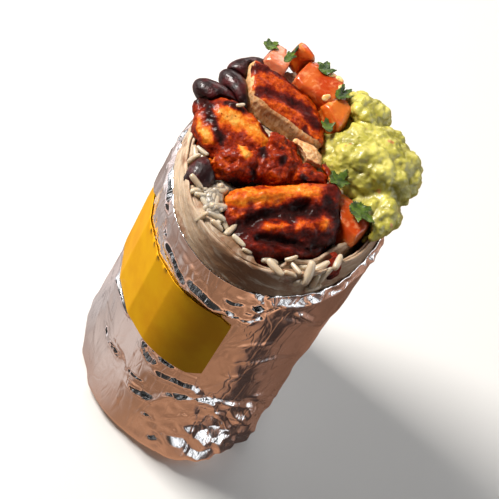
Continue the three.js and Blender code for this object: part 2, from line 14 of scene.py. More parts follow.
import bpy
from mathutils import Matrix, Vector, noise
from mathutils.bvhtree import BVHTree


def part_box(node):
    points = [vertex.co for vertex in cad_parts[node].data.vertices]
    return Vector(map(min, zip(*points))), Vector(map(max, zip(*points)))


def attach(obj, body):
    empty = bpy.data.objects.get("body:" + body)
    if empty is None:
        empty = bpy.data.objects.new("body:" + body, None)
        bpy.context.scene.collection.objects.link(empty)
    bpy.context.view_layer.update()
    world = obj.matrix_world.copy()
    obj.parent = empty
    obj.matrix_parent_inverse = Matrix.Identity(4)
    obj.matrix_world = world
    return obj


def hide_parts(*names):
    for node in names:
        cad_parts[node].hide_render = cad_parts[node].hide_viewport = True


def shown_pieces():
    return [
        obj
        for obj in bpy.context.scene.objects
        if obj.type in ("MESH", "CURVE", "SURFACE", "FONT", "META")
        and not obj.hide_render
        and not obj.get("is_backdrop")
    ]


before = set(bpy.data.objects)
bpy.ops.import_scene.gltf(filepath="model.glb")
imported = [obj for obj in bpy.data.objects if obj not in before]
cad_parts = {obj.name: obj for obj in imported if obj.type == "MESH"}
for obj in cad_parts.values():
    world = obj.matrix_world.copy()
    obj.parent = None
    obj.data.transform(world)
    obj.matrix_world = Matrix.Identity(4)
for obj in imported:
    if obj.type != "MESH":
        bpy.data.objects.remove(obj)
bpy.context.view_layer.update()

MM = 0.001
BODY = "root"

# %% [markdown]
# ## The camera
#
# The picture was taken from above the front, with the camera rolled, so that the burrito
# leans over to the right. A camera can be aimed with a constraint, but its own three axes
# say the tilt and the roll exactly, so they are worked out and set as its matrix.

# %% Aim the camera
ELEVATION = math.radians(47.0)
ROLL = math.radians(31.5)
DISTANCE = 0.7
AIM = Vector((0.0, 0.0, 0.06))
LENS = 161.6
SHIFT = (0.0154, 0.0096)

back = Vector((0.0, -math.cos(ELEVATION), math.sin(ELEVATION)))
level = Vector((1.0, 0.0, 0.0))
rise = Vector((0.0, math.sin(ELEVATION), math.cos(ELEVATION)))
EYE = AIM + back * DISTANCE
right = level * math.cos(ROLL) + rise * math.sin(ROLL)
upward = rise * math.cos(ROLL) - level * math.sin(ROLL)
camera_data = bpy.data.cameras.new("camera")
camera_data.lens = LENS
camera_data.shift_x, camera_data.shift_y = SHIFT
camera = bpy.data.objects.new("camera", camera_data)
bpy.context.scene.collection.objects.link(camera)
camera.matrix_world = Matrix.Translation(EYE) @ Matrix((right, upward, back)).transposed().to_4x4()
bpy.context.scene.camera = camera
print("camera at", [round(v, 3) for v in camera.matrix_world.translation])


def seen(place):
    """Where a point in mm shows in the picture, in mm to the right of and above the aim."""
    off = place - AIM / MM
    shrink = DISTANCE / MM / (DISTANCE / MM - off.dot(back))
    return off.dot(level) * shrink, off.dot(rise) * shrink


# %% [markdown]
# ## A plain studio
#
# The floor is pale and the light is soft. Foil is a mirror that is bent in a thousand
# places, so it shows what stands round it: on the real one a warm brown table. That table
# would spoil the plain floor, so a second sheet just under it is seen by mirror rays only,
# and the pale floor by all other rays. The sky is left out of mirrors, which makes the
# facets that look upwards dark, but for those that catch a lamp.

# %% Selecting, finishes and the floor
def only(*objects):
    """Selects these objects and nothing else. The first becomes the active one."""
    if bpy.context.object and bpy.context.object.mode != "OBJECT":
        bpy.ops.object.mode_set(mode="OBJECT")
    bpy.ops.object.select_all(action="DESELECT")
    for thing in objects:
        thing.select_set(True)
    bpy.context.view_layer.objects.active = objects[0]


class Finish:
    """A material with one Principled shader, and short words for the nodes that feed it."""

    def __init__(self, name, **sockets):
        self.material = bpy.data.materials.new(name)
        self.material.use_nodes = True
        self.tree = self.material.node_tree
        self.shader = self.tree.nodes["Principled BSDF"]
        self.place = self.tree.nodes.new("ShaderNodeTexCoord").outputs["Object"]
        for words, value in sockets.items():
            self.set(words, value)

    def feed(self, socket, value):
        """Links a node's output to a socket, or sets a number or a colour on it."""
        if isinstance(value, bpy.types.NodeSocket):
            self.tree.links.new(value, socket)
        elif isinstance(value, tuple) and len(value) == 3 and socket.type == "RGBA":
            socket.default_value = (*value, 1.0)
        else:
            socket.default_value = value

    def set(self, words, value):
        """Sets or links one socket of the shader; base_color means Base Color."""
        self.feed(self.shader.inputs[words.replace("_", " ").title().replace("Ior", "IOR")], value)

    def node(self, kind, output, **inputs):
        """Adds a node, feeds its inputs, and gives it back with one output. i0 is input 0."""
        made = self.tree.nodes.new(kind)
        for words, value in inputs.items():
            numbered = words[0] == "i" and words[1:].isdigit()
            key = int(words[1:]) if numbered else words.replace("_", " ").title()
            self.feed(made.inputs[key], value)
        return made, made.outputs[output]

    def stretched(self, stretch, turn=(0.0, 0.0, 0.0)):
        """Object coordinates, turned and then stretched along each axis."""
        made, out = self.node("ShaderNodeMapping", "Vector", Vector=self.place)
        made.inputs["Rotation"].default_value = turn
        made.inputs["Scale"].default_value = stretch
        return out

    def noise(self, size, detail=3.0, roughness=0.5, distortion=0.0, where=None):
        """Noise between 0 and 1 whose blots are about size millimetres wide."""
        return self.node(
            "ShaderNodeTexNoise", "Fac", Vector=where or self.place, Scale=1 / (size * MM),
            Detail=detail, Roughness=roughness, Distortion=distortion,
        )[1]

    def gradient(self, kind, where=None):
        """0 to 1 round the middle, or from a ball's surface to its middle."""
        made, out = self.node("ShaderNodeTexGradient", "Fac", Vector=where or self.place)
        made.gradient_type = kind
        return out

    def painted(self, name):
        """An amount that was painted on the piece's points."""
        made = self.tree.nodes.new("ShaderNodeAttribute")
        made.attribute_name = name
        return made.outputs["Fac"]

    def step(self, value, low, high, to=(0.0, 1.0)):
        """0 to 1, or the two ends of to, as a value goes from low to high."""
        made, out = self.node("ShaderNodeMapRange", "Result", Value=value)
        made.interpolation_type = "SMOOTHSTEP"
        for key, number in zip(("From Min", "From Max", "To Min", "To Max"), (low, high, *to)):
            made.inputs[key].default_value = number
        return out

    def ramp(self, value, stops):
        """A row of colours, read at a value."""
        made, out = self.node("ShaderNodeValToRGB", "Color", Fac=value)
        marks = made.color_ramp.elements
        while len(marks) < len(stops):
            marks.new(0.5)
        for mark, (at, colour) in zip(marks, stops):
            mark.position = at
            mark.color = (*colour, 1.0)
        return out

    def math(self, operation, a, b=0.0):
        """One sum of two values."""
        made, out = self.node("ShaderNodeMath", "Value", i0=a, i1=b)
        made.operation = operation
        return out

    def mix(self, share, a, b, blend="MIX"):
        """Two colours mixed by a share."""
        made = self.tree.nodes.new("ShaderNodeMix")
        made.data_type = "RGBA"
        made.blend_type = blend
        for key, value in zip((0, 6, 7), (share, a, b)):
            self.feed(made.inputs[key], value)
        return made.outputs[2]

    def over(self, tone, colour, amount, low, high, share=1.0):
        """Lays a colour over a tone: none where an amount is low, and share of it where high."""
        return self.mix(self.step(amount, low, high, (0.0, share)), tone, colour)

    def bump(self, height, depth, strength=1.0, under=None):
        """Relief of depth millimetres, laid over the relief under it."""
        made, out = self.node(
            "ShaderNodeBump", "Normal", Height=height, Strength=strength, Distance=depth * MM,
        )
        if under is not None:
            self.tree.links.new(under, made.inputs["Normal"])
        return out


def rgb(*on_screen):
    """A colour given as 0 to 255 on a screen, in the linear shares that the shader wants."""
    shares = []
    for value in on_screen:
        share = value / 255
        shares.append(share / 12.92 if value <= 10 else ((share + 0.055) / 1.055) ** 2.4)
    return tuple(shares)


def mirror_rays_only(piece):
    """Hides a piece from all rays but those that a mirror sends out."""
    for rays in ("camera", "diffuse", "transmission", "volume_scatter", "shadow"):
        setattr(piece, "visible_" + rays, False)


BLACK = (0.0, 0.0, 0.0)
FLOOR_SIZE = 8.0
FLOOR_TONE = rgb(224, 222, 219)
bpy.ops.object.select_all(action="DESELECT")
bpy.ops.mesh.primitive_plane_add(size=FLOOR_SIZE)
floor = bpy.context.object
floor.name = "floor"
floor.visible_glossy = False
floor.visible_diffuse = False
floor.data.materials.append(Finish("pale_floor", base_color=FLOOR_TONE, roughness=0.9).material)
floor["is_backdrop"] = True
print("floor of", FLOOR_SIZE, "m")

# %% [markdown]
# ### What the foil mirrors
#
# The mirrored table gives off its own light, so that its tones don't hang on the lamps. It
# is painted with two ramps. One runs round the object: brown in front, and dark in a narrow
# sector at the right, where the real table lies in the burrito's shadow. The other runs out
# from it: brightest about 40 cm off, and dark a metre away. A few large clouds keep it from
# looking painted.

# %% The mirrored table
TABLE_DROP = 0.002
bpy.ops.mesh.primitive_plane_add(size=FLOOR_SIZE, location=(0, 0, -TABLE_DROP))
table = bpy.context.object
table.name = "mirrored_table"
mirror_rays_only(table)
warm = Finish("warm_table", base_color=BLACK, roughness=1.0, emission_strength=1.0)
# Share of the way round from the left, and the table's tone there.
TABLE_ROUND = (
    (0.0, rgb(230, 216, 212)),
    (0.05, rgb(206, 182, 172)),
    (0.11, rgb(182, 144, 126)),
    (0.22, rgb(190, 138, 106)),
    (0.37, rgb(198, 142, 108)),
    (0.395, rgb(150, 110, 92)),
    (0.41, rgb(72, 56, 51)),
    (0.45, rgb(66, 50, 45)),
    (0.475, rgb(136, 98, 80)),
    (0.6, rgb(150, 106, 84)),
    (0.85, rgb(196, 170, 160)),
    (1.0, rgb(230, 216, 212)),
)
colour_round = warm.ramp(warm.gradient("RADIAL"), TABLE_ROUND)
# Share of the way in from a metre off, and how bright the table is there.
TABLE_NEAR = (
    (0.0, (0.03, 0.03, 0.03)),
    (0.25, (0.25, 0.25, 0.25)),
    (0.62, (2.2, 2.3, 2.4)),
    (0.8, (1.1, 1.12, 1.15)),
    (0.865, (0.7, 0.68, 0.66)),
    (0.92, (0.72, 0.7, 0.69)),
    (0.96, (0.9, 0.9, 0.9)),
    (1.0, (1.0, 1.0, 1.0)),
)
glow = warm.ramp(warm.gradient("SPHERICAL"), TABLE_NEAR)
CLOUD_SIZE = 55
CLOUD_DARK, CLOUD_BRIGHT = (0.72, 0.72, 0.72), (1.25, 1.25, 1.25)
cloud = warm.mix(warm.step(warm.noise(CLOUD_SIZE, 3.0), 0.35, 0.7), CLOUD_DARK, CLOUD_BRIGHT)
shone = warm.mix(1.0, warm.mix(1.0, colour_round, glow, "MULTIPLY"), cloud, "MULTIPLY")

# a pale patch in front at the left, which the lowest facets mirror
PATCH_PLACE, PATCH_RADIUS = Vector((-0.055, -0.045, 0.0)), 0.05
PATCH_TONE, PATCH_SHARE = rgb(236, 218, 210), 0.7
shift, patch_place = warm.node(
    "ShaderNodeMapping", "Vector", Vector=warm.place, Location=-PATCH_PLACE / PATCH_RADIUS,
)
shift.inputs["Scale"].default_value = (1 / PATCH_RADIUS,) * 3
in_patch = warm.step(warm.gradient("SPHERICAL", patch_place), 0.0, 0.8, (0.0, PATCH_SHARE))
shone = warm.mix(in_patch, shone, PATCH_TONE)
warm.set("emission_color", shone)
table.data.materials.append(warm.material)
table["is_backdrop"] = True
print("mirrored table:", len(TABLE_ROUND), "tones round,", len(TABLE_NEAR), "outwards")

# %% The sky and three soft lamps
SKY_TONE, SKY_STRENGTH = rgb(236, 236, 238), 0.17
bpy.context.scene.view_settings.view_transform = "Standard"
world = bpy.data.worlds.new("studio")
bpy.context.scene.world = world
world.use_nodes = True
sky = world.node_tree.nodes["Background"]
sky.inputs["Color"].default_value = (*SKY_TONE, 1.0)
sky.inputs["Strength"].default_value = SKY_STRENGTH
world.cycles_visibility.glossy = False
LAMP_AIM = Vector((0.0, 0.0, 0.08))


def lamp(name, place, size, watts, colour):
    """A square soft lamp that looks at the burrito."""
    data = bpy.data.lights.new(name, "AREA")
    data.size = size
    data.energy = watts
    data.color = colour
    made = bpy.data.objects.new(name, data)
    bpy.context.scene.collection.objects.link(made)
    made.location = place
    made.rotation_euler = (LAMP_AIM - Vector(place)).to_track_quat("-Z", "Y").to_euler()


# Each lamp: its name, place and size in metres, its watts and its colour.
LAMPS = (
    ("key_left", (-0.62, 0.02, 0.7), 0.3, 14.0, (1.0, 0.965, 0.92)),
    ("soft_right", (0.8, 0.3, 0.5), 0.9, 3.6, (0.94, 0.97, 1.0)),
    ("soft_back", (-0.1, 0.8, 0.5), 0.4, 1.6, (1.0, 0.98, 0.95)),
)
for name, place, size, watts, colour in LAMPS:
    lamp(name, place, size, watts, colour)
print("lamps:", len(LAMPS))

# %% [markdown]
# ### The bright ring
#
# Facets that stand upright mirror what is level with them, and there the table ends. A ring
# of bright patches round the object gives them their small white glints. It too is seen by
# mirror rays only, and a ramp round it says at which sides it is bright.

# %% The reflector ring
RING_SIDES = 48
RING_RADIUS, RING_HEIGHT, RING_MIDDLE = 1.05, 0.54, 0.31
bpy.ops.mesh.primitive_cylinder_add(
    vertices=RING_SIDES, radius=RING_RADIUS, depth=RING_HEIGHT, end_fill_type="NOTHING",
    location=(0, 0, RING_MIDDLE),
)
ring = bpy.context.object
ring.name = "reflector_ring"
mirror_rays_only(ring)
# Share of the way round from the left, and how bright the ring is there.
RING_ROUND = (
    (0.0, (0.3, 0.3, 0.3)),
    (0.015, (0.0, 0.0, 0.0)),
    (0.14, (0.0, 0.0, 0.0)),
    (0.15, (0.6, 0.6, 0.6)),
    (0.16, (0.0, 0.0, 0.0)),
    (0.232, (0.0, 0.0, 0.0)),
    (0.24, (0.6, 0.6, 0.6)),
    (0.25, (0.0, 0.0, 0.0)),
    (0.33, (0.0, 0.0, 0.0)),
    (0.38, (0.8, 0.8, 0.8)),
    (0.56, (0.9, 0.9, 0.9)),
    (0.62, (0.1, 0.1, 0.1)),
    (0.88, (0.1, 0.1, 0.1)),
    (0.91, (0.9, 0.9, 0.9)),
    (0.975, (0.9, 0.9, 0.9)),
    (1.0, (0.3, 0.3, 0.3)),
)
white = Finish("reflector", base_color=BLACK, emission_color=(0.93, 0.96, 1.0))
PATCHY_SIZE, PATCHY_STRENGTH = 120, 2.1
patchy = white.step(white.noise(PATCHY_SIZE, 2.0), 0.42, 0.54, (0.0, PATCHY_STRENGTH))
bright_round = white.ramp(white.gradient("RADIAL"), RING_ROUND)
white.set("emission_strength", white.math("MULTIPLY", patchy, bright_round))
ring.data.materials.append(white.material)
ring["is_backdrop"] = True
print("stage:", floor.name, table.name, ring.name)

# %% [markdown]
# ## Tools for shaping
#
# Short helpers do most of the modelling. One applies a modifier by its own operator. One
# rolls a grid of squares up into a cup, in the way that foil and a tortilla are rolled
# round a filling. One copies a CAD node, welds its loose triangles, and turns it into an
# even skin that can be sculpted.

# %% Modifiers, rolled grids and welded copies
WELD_WITHIN = 0.000002


def apply(piece, kind, **settings):
    """Adds a modifier to a piece, sets it and applies it."""
    only(piece)
    modifier = piece.modifiers.new(kind.lower(), kind)
    for words, value in settings.items():
        setattr(modifier, words, value)
    bpy.ops.object.modifier_apply(modifier=modifier.name)


def weld():
    """Merges the active piece's points that lie on one another."""
    bpy.ops.object.mode_set(mode="EDIT")
    bpy.ops.mesh.select_all(action="SELECT")
    bpy.ops.mesh.remove_doubles(threshold=WELD_WITHIN)
    bpy.ops.object.mode_set(mode="OBJECT")


def rolled(name, columns, stations):
    """A grid whose rows become rings. Each station gives a point in mm from an angle in degrees."""
    rows = len(stations) - 1
    only(floor)
    bpy.ops.mesh.primitive_grid_add(x_subdivisions=columns, y_subdivisions=rows, size=1.0)
    piece = bpy.context.object
    piece.name = name
    for point in piece.data.vertices:
        column = round((point.co.x + 0.5) * columns) % columns
        row = round((point.co.y + 0.5) * rows)
        point.co = Vector(stations[row](360.0 * column / columns)) * MM
    weld()
    bpy.ops.object.shade_smooth()
    return piece


def welded(node, name, voxel=0.0, rounds=0):
    """A welded copy of a CAD node, remeshed in squares of voxel millimetres and smoothed."""
    piece = bpy.data.objects.new(name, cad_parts[node].data.copy())
    piece.data.materials.clear()
    bpy.context.scene.collection.objects.link(piece)
    only(piece)
    weld()
    if voxel:
        apply(piece, "REMESH", mode="VOXEL", voxel_size=voxel * MM)
    if rounds:
        apply(piece, "SMOOTH", factor=0.5, iterations=rounds)
    only(piece)
    bpy.ops.object.shade_smooth()
    return piece


print("points within", WELD_WITHIN / MM, "mm are welded")

# %% [markdown]
# A rule is a small function that says how far a point moves, or how much of a colour lies
# on it. The next helpers apply rules to all points of a piece, and give the rules their
# words: a soft step, a hump, noise, creases, and a table that is read from pair to pair.
# The last number that a noise is given only seeds it, so that no two are alike.

# %% Rules, paint and dressing a piece
def reshape(piece, move):
    """Moves every point by move(place, normal), in mm: along its normal, or by a vector."""
    points = [(point.co / MM, point.normal.copy()) for point in piece.data.vertices]
    for point, (place, normal) in zip(piece.data.vertices, points):
        step = move(place, normal)
        point.co = (place + (step if isinstance(step, Vector) else normal * step)) * MM
    piece.data.update()


def paint(piece, name, amount):
    """Keeps a value for each point, which a finish reads by name."""
    layer = piece.data.attributes.new(name, "FLOAT", "POINT")
    amounts = [amount(point.co / MM, point.normal) for point in piece.data.vertices]
    layer.data.foreach_set("value", amounts)


def dress(piece, finish, slot, *nodes):
    """Gives a piece its material and its body, and hides the CAD nodes that it stands for. slot is not
    used.
    """
    piece.data.materials.append(finish.material)
    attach(piece, BODY)
    if nodes:
        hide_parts(*nodes)
    print(piece.name, len(piece.data.polygons), "faces")


def ease(low, high, value):
    """0 to 1, softly, as a value passes from low to high."""
    share = min(1.0, max(0.0, (value - low) / (high - low)))
    return share * share * (3 - 2 * share)


def hump(value, middle, spread):
    """A soft hump: 1 at its middle and near 0 two spreads away from it."""
    return math.exp(-((value - middle) / spread) ** 2)


def rough(place, size, seed=0):
    """Noise between about -1 and 1 whose blots are size millimetres wide."""
    return noise.noise(Vector(place) / size + Vector((seed * 7.31, seed * 3.17, seed * 5.53)))


def creases(place, size, seed=0):
    """Facets that meet in sharp valleys, 0 in a valley and near 1 on a peak."""
    near, _ = noise.voronoi(Vector(place) / size + Vector((seed * 4.7, seed * 9.1, seed * 2.3)))
    return min(1.0, near[1] - near[0])


def along(table, value):
    """Reads a table of (value, result) pairs, straight from pair to pair."""
    for (v0, r0), (v1, r1) in zip(table, table[1:]):
        if value <= v1:
            return r0 + (r1 - r0) * max(0.0, (value - v0) / (v1 - v0))
    return table[-1][1]


at_one, at_two = hump(1, 0, 1), hump(2, 0, 1)
print("a hump falls to", round(at_one, 2), "at one spread and", round(at_two, 2), "at two")

# %% [markdown]
# ## The wrap's plan
#
# The foil, the sticker and the tortilla all follow one oval that narrows a little towards
# the foot. These values are the CAD model's own, in millimetres, so that what is rolled
# here lands where the CAD solids are.

# %% The oval and its edges
HALF_WIDTH = 33.7
HALF_DEPTH = 40.2
FOOT_NARROWER = 1.3
TAPER_HEIGHT = 74.0
FOOT_ROUND = 5.0
FOOT_PULL = 3.4
FOIL_TOP = 96.3
FOIL_SLOPE = 0.17
MEAN_RADIUS = 37


def on_wrap(degrees, height, out=0.0, share=1.0):
    """A point of the wrap at an angle and a height, out millimetres off the plain oval."""
    low = max(0.0, 1 - height / FOOT_ROUND)
    narrower = FOOT_NARROWER * (1 - ease(0, TAPER_HEIGHT, height))
    less = narrower + FOOT_PULL * (1 - math.sqrt(1 - low * low)) - out
    turn = math.radians(degrees)
    x = (HALF_WIDTH - less) * share * math.cos(turn)
    y = (HALF_DEPTH - less) * share * math.sin(turn)
    return x, y, height


def flat_ring(height, out, share):
    """A rolled grid's station: a level ring at a share of the way out from the middle."""
    return lambda degrees: on_wrap(degrees, height, out, share)


def depth(degrees):
    """How far back the oval lies at an angle."""
    return HALF_DEPTH * math.sin(math.radians(degrees))


def signed(degrees):
    """An angle between -180 and 180."""
    return (degrees + 180) % 360 - 180


print("oval of", 2 * HALF_WIDTH, "by", 2 * HALF_DEPTH, "mm")

# %% [markdown]
# ## The foil
#
# Kitchen foil is smooth where it is stretched and sharply creased where it is gathered: at
# the torn rim, along the edge of its outer layer, at the hem where the tail is folded up,
# and most of all at the lower right, where the ends are screwed together. Cloth simulation
# makes folds that are too round for metal. A dense rolled grid can be pushed in and out by
# a rule for each of these places instead, and its creases stay as sharp as its squares.

# %% Rules for the foil's relief
FOIL_COLUMNS = 420
FOIL_ROWS = 196
# Height and angle along the edge of the outer layer at the right.
LAP_EDGE = ((66, -84), (74, -74), (82, -63), (87, -57), (92, -53), (104, -46))
# Angle and height along the hem.
HEM = (
    (-180, 31), (-160, 32), (-136, 32), (-118, 30), (-107, 26), (-91, 26), (-84, 29), (-77, 33),
    (-62, 35), (-45, 31), (-20, 26), (20, 28), (60, 31), (120, 29), (180, 31),
)
# The sticker's ends in degrees, its edges in mm up at the sides, and how they slope.
LABEL_FROM, LABEL_TO = 150.0, 284.5
LABEL_LOW, LABEL_HIGH, LABEL_SLOPE = 45.4, 75.6, 0.015
# Angle, and how much of the rim is folded over there.
EDGES = (
    (-180, 0.9), (-150, 1.0), (-138, 0.9), (-128, 0.15), (-112, 0.0), (-79, 0.0), (-71, 0.9),
    (10, 1.0), (60, 0.8), (180, 0.9),
)


def foil_top(degrees):
    """The torn rim, finely ragged where the outer layer is folded over."""
    place = on_wrap(degrees, 0)
    ragged = 0.25 + 0.75 * along(EDGES, signed(degrees))
    slow = 0.7 * rough(place, 14, 4)
    quick = 0.5 * rough(place, 3.5, 5) + 0.3 * rough(place, 1.4, 6)
    return FOIL_TOP + FOIL_SLOPE * depth(degrees) + slow + ragged * quick


def near_label(degrees, height):
    """1 under the sticker and 0 well away from it."""
    turn = degrees % 360
    drop = LABEL_SLOPE * depth(degrees)
    over = height - LABEL_HIGH - drop
    under = LABEL_LOW + drop - height
    share = ease(LABEL_FROM - 6, LABEL_FROM, turn) * (1 - ease(LABEL_TO, LABEL_TO + 4, turn))
    clear = 2.4 + 1.2 * (1 - ease(235, 252, turn))
    return share * (1 - ease(0.6, clear, over)) * (1 - ease(0.3, 1.8, under))


def facets(across, up, size, seed):
    """Flat triangles between heights at random, -1 to 1: the way that crumpled foil lies."""
    bend = Vector((0.55 * across / size, 0.55 * up / size, seed * 5.1))
    x = across / size + 0.5 * noise.noise(bend)
    y = up / size + 0.5 * noise.noise(bend + Vector((9.7, 4.3, 0)))
    column, row = math.floor(x), math.floor(y)
    x, y = x - column, y - row
    corner = Vector((column + 0.5, row + 0.5, seed + 0.5))
    east = noise.cell(corner + Vector((1, 0, 0)))
    north = noise.cell(corner + Vector((0, 1, 0)))
    if x + y < 1:
        return noise.cell(corner) * (1 - x - y) + east * x + north * y
    return noise.cell(corner + Vector((1, 1, 0))) * (x + y - 1) + east * (1 - y) + north * (1 - x)


print("the foil's rim at the front:", round(foil_top(-90), 1), "mm up")

# %% [markdown]
# The large folds decide how the foil looks, so they are drawn one by one. Each is a line
# on the unrolled foil. The foil swells slowly up to the line from below and drops away
# quickly above it, as a slack fold hangs. Handling adds many thin creases, at random.

# %% Folds along drawn lines
# Each fold: how far it swells below its line, how far it drops above it, how high, and the
# line in degrees and millimetres up, from left to right.
FOLDS = (
    (3.0, 1.6, 1.2, ((-130.8, 81.8), (-121.5, 80.9), (-114.8, 79.8), (-108.6, 78.3), (-102.0, 76.5))),
    (3.5, 2.0, 1.5, ((-109.0, 80.0), (-98.4, 78.6), (-91.7, 77.4), (-82.0, 75.8))),
    (2.0, 1.2, 0.8, ((-139.0, 87.5), (-134.2, 83.6), (-128.0, 82.8))),
    (1.6, 1.4, 1.0, ((-124.5, 89.0), (-119.2, 88.8), (-113.5, 89.6))),
    (1.6, 1.2, 0.9, ((-89.0, 89.0), (-80.5, 87.2))),
    (2.0, 2.6, 1.7, ((-83.0, 85.6), (-75.2, 87.0), (-67.0, 89.0))),
    (1.8, 2.2, 1.55, ((-74.0, 83.4), (-66.3, 84.6), (-60.5, 86.9))),
    (1.5, 1.0, 0.8, ((-86.5, 82.8), (-80.1, 81.8), (-75.0, 83.7))),
    (1.8, 1.6, 1.2, ((-84.0, 78.3), (-77.5, 76.9), (-72.8, 76.4), (-67.0, 78.9))),
    (2.0, 1.6, 1.2, ((-49.0, 84.4), (-35.0, 77.0))),
    (1.4, 0.6, 0.62, ((-153.0, 44.6), (-147.4, 43.4), (-137.5, 44.2), (-130.0, 44.0), (-122.5, 44.4))),
    (2.6, 2.2, 1.6, ((-112.5, 43.6), (-107.4, 41.2), (-102.4, 39.4), (-96.0, 41.8))),
    (1.5, 1.2, 0.9, ((-107.5, 45.0), (-101.5, 44.6))),
    (1.4, 1.2, 0.85, ((-99.0, 43.6), (-88.6, 43.2))),
    (2.6, 1.9, 1.35, ((-101.7, 36.8), (-93.6, 36.6), (-84.8, 37.9), (-75.9, 38.4), (-66.4, 34.6))),
    (2.0, 1.7, 1.2, ((-72.0, 32.9), (-64.4, 33.4), (-57.7, 33.3))),
    (1.6, 1.0, 0.75, ((-112.1, 27.9), (-97.6, 29.3))),
    (2.2, 1.7, 1.2, (
        (-111.0, 24.2), (-101.9, 23.4), (-91.0, 24.2), (-88.3, 27.4), (-82.9, 30.5), (-76.7, 33.0),
        (-68.3, 33.8),
    )),
    (2.4, 1.5, 1.1, ((-141.2, 28.2), (-134.0, 26.9), (-126.7, 27.5), (-115.6, 28.3))),
    (1.4, 1.3, 0.95, ((-92.4, 16.4), (-82.2, 16.4))),
    (1.6, 1.4, 1.0, ((-83.0, 7.6), (-72.7, 8.2))),
    (0.7, 0.7, 0.3, ((-113.1, 46.0), (-113.0, 33.8), (-111.7, 26.6), (-108.6, 18.1), (-103.0, 5.5))),
    (0.6, 0.6, 0.26, ((-100.5, 22.8), (-96.5, 11.9), (-94.0, 4.5))),
    (0.6, 0.6, 0.26, ((-98.2, 33.0), (-98.0, 26.6))),
    (0.6, 0.6, 0.26, ((-90.6, 25.6), (-82.5, 15.8))),
    (4.0, 1.6, 0.7, ((-60.0, 55.6), (-42.7, 57.4), (-18.0, 49.0))),
    (4.0, 1.5, 0.6, ((-72.0, 62.2), (-62.0, 67.3), (-46.0, 68.4))),
    (4.0, 1.5, 0.6, ((-68.0, 48.0), (-56.0, 49.2), (-39.0, 45.2))),
    (4.0, 1.8, 0.9, ((-62.4, 33.6), (-50.3, 32.2), (-34.2, 25.8), (-8.0, 13.0))),
    (4.0, 1.6, 0.8, ((-48.0, 34.6), (-33.7, 33.0), (-9.0, 20.0))),
    (4.0, 1.4, 0.6, ((-57.0, 81.0), (-43.2, 78.1), (-20.0, 68.0))),
    (4.0, 1.6, 0.8, ((-62.0, 29.0), (-48.5, 25.0), (-29.0, 20.8))),
    (3.0, 1.4, 0.6, ((-81.0, 19.4), (-73.6, 23.7), (-62.0, 27.0))),
    (3.0, 1.4, 0.6, ((-172.0, 66.0), (-160.0, 60.0), (-146.0, 38.0))),
    (3.0, 1.4, 0.6, ((-165.0, 30.0), (-150.0, 24.0), (-136.0, 14.0))),
    (3.0, 1.6, 0.9, ((100.0, 80.0), (125.0, 74.0), (150.0, 76.0))),
    (3.0, 1.6, 0.9, ((40.0, 60.0), (70.0, 52.0), (95.0, 55.0))),
    (3.0, 1.6, 1.0, ((60.0, 30.0), (90.0, 24.0), (130.0, 28.0))),
    (3.0, 1.6, 0.9, ((5.0, 72.0), (25.0, 66.0), (40.0, 70.0))),
)
# Millimetres along the wrap for each degree.
ARC = 0.645
# How many creases come from handling, and the seed of their draws.
HANDLED, HANDLED_SEED = 90, 4


def unrolled(fold):
    """A fold with its line in millimetres along the wrap, its length and the box round it."""
    swell, drop, high, line = fold
    points = [(turn * ARC, height) for turn, height in line]
    xs, ys = [x for x, _ in points], [y for _, y in points]
    room = max(swell, drop) + 1
    box = (min(xs) - room, max(xs) + room, min(ys) - room, max(ys) + room)
    length = sum(math.dist(p, q) for p, q in zip(points, points[1:]))
    return swell, drop, high, points, length, box


def handled(count, seed):
    """Thin creases from handling: steep on the left, leaning to the right on the right."""
    draws = random.Random(seed)
    for _ in range(count):
        turn, height = draws.uniform(-180, 180), draws.uniform(4, 92)
        lean = math.radians(draws.uniform(15, 60) if turn > -80 else draws.uniform(60, 115))
        reach = draws.uniform(4, 13)
        along_x, along_y = reach * math.cos(lean) / ARC, reach * math.sin(lean)
        width = draws.uniform(0.5, 1.3)
        high = draws.choice((-0.2, 0.25)) * width
        start, end = (turn - along_x, height - along_y), (turn + along_x, height + along_y)
        middle = (turn + draws.uniform(-2, 2), height + draws.uniform(-1, 1))
        yield width, width, high, (start, middle, end)


UNROLLED = [unrolled(fold) for fold in (*FOLDS, *handled(HANDLED, HANDLED_SEED))]


def folded(x, y):
    """How far the folds of the table lift a point of the unrolled foil."""
    out = 0.0
    for swell, drop, high, points, length, (left, right, low, top) in UNROLLED:
        if not (left < x < right and low < y < top):
            continue
        nearest, offset, at, run = 1000.0, 0.0, 0.0, 0.0
        for (x0, y0), (x1, y1) in zip(points, points[1:]):
            run_x, run_y = x1 - x0, y1 - y0
            span = math.hypot(run_x, run_y)
            share = min(1.0, max(0.0, ((x - x0) * run_x + (y - y0) * run_y) / span ** 2))
            gap = math.hypot(x - x0 - share * run_x, y - y0 - share * run_y)
            if gap < nearest:
                nearest = gap
                offset = math.copysign(gap, run_x * (y - y0) - run_y * (x - x0))
                at = (run + share * span) / length
            run += span
        height = 1 + offset / swell if offset < 0 else 1 - offset / drop
        out += high * max(0.0, height) * min(1.0, 5 * at, 5 * (1 - at))
    return out


print("folds:", len(FOLDS), "drawn and", HANDLED, "from handling")

# %% [markdown]
# What is left are the places where the foil does something of its own: flat facets under
# the sticker's left half, a foot that spreads where the ends are screwed together, a rim
# that leans in on the dough, and a hem. One rule adds them up for every point.

# %% The foil's whole relief
# The ends of the wrap's flat facets, in degrees.
FLATS = ((-168, -148), (-148, -128), (-128, -112))
# Where the foot spreads, and where the ends are screwed together, in degrees.
SPREAD_ANGLE, EAR_ANGLE, SCREWED_ANGLE = -58.0, -22.0, -46.0
# The calm stretch at the right, and the far left, where the rim hangs over the sticker.
CALM_ANGLE, FAR_LEFT_ANGLE = -8, 191
# Millimetres for each degree beside the lap, and how far in the foil may go at the most.
LAP_ARC, DEEPEST = 0.62, -0.7


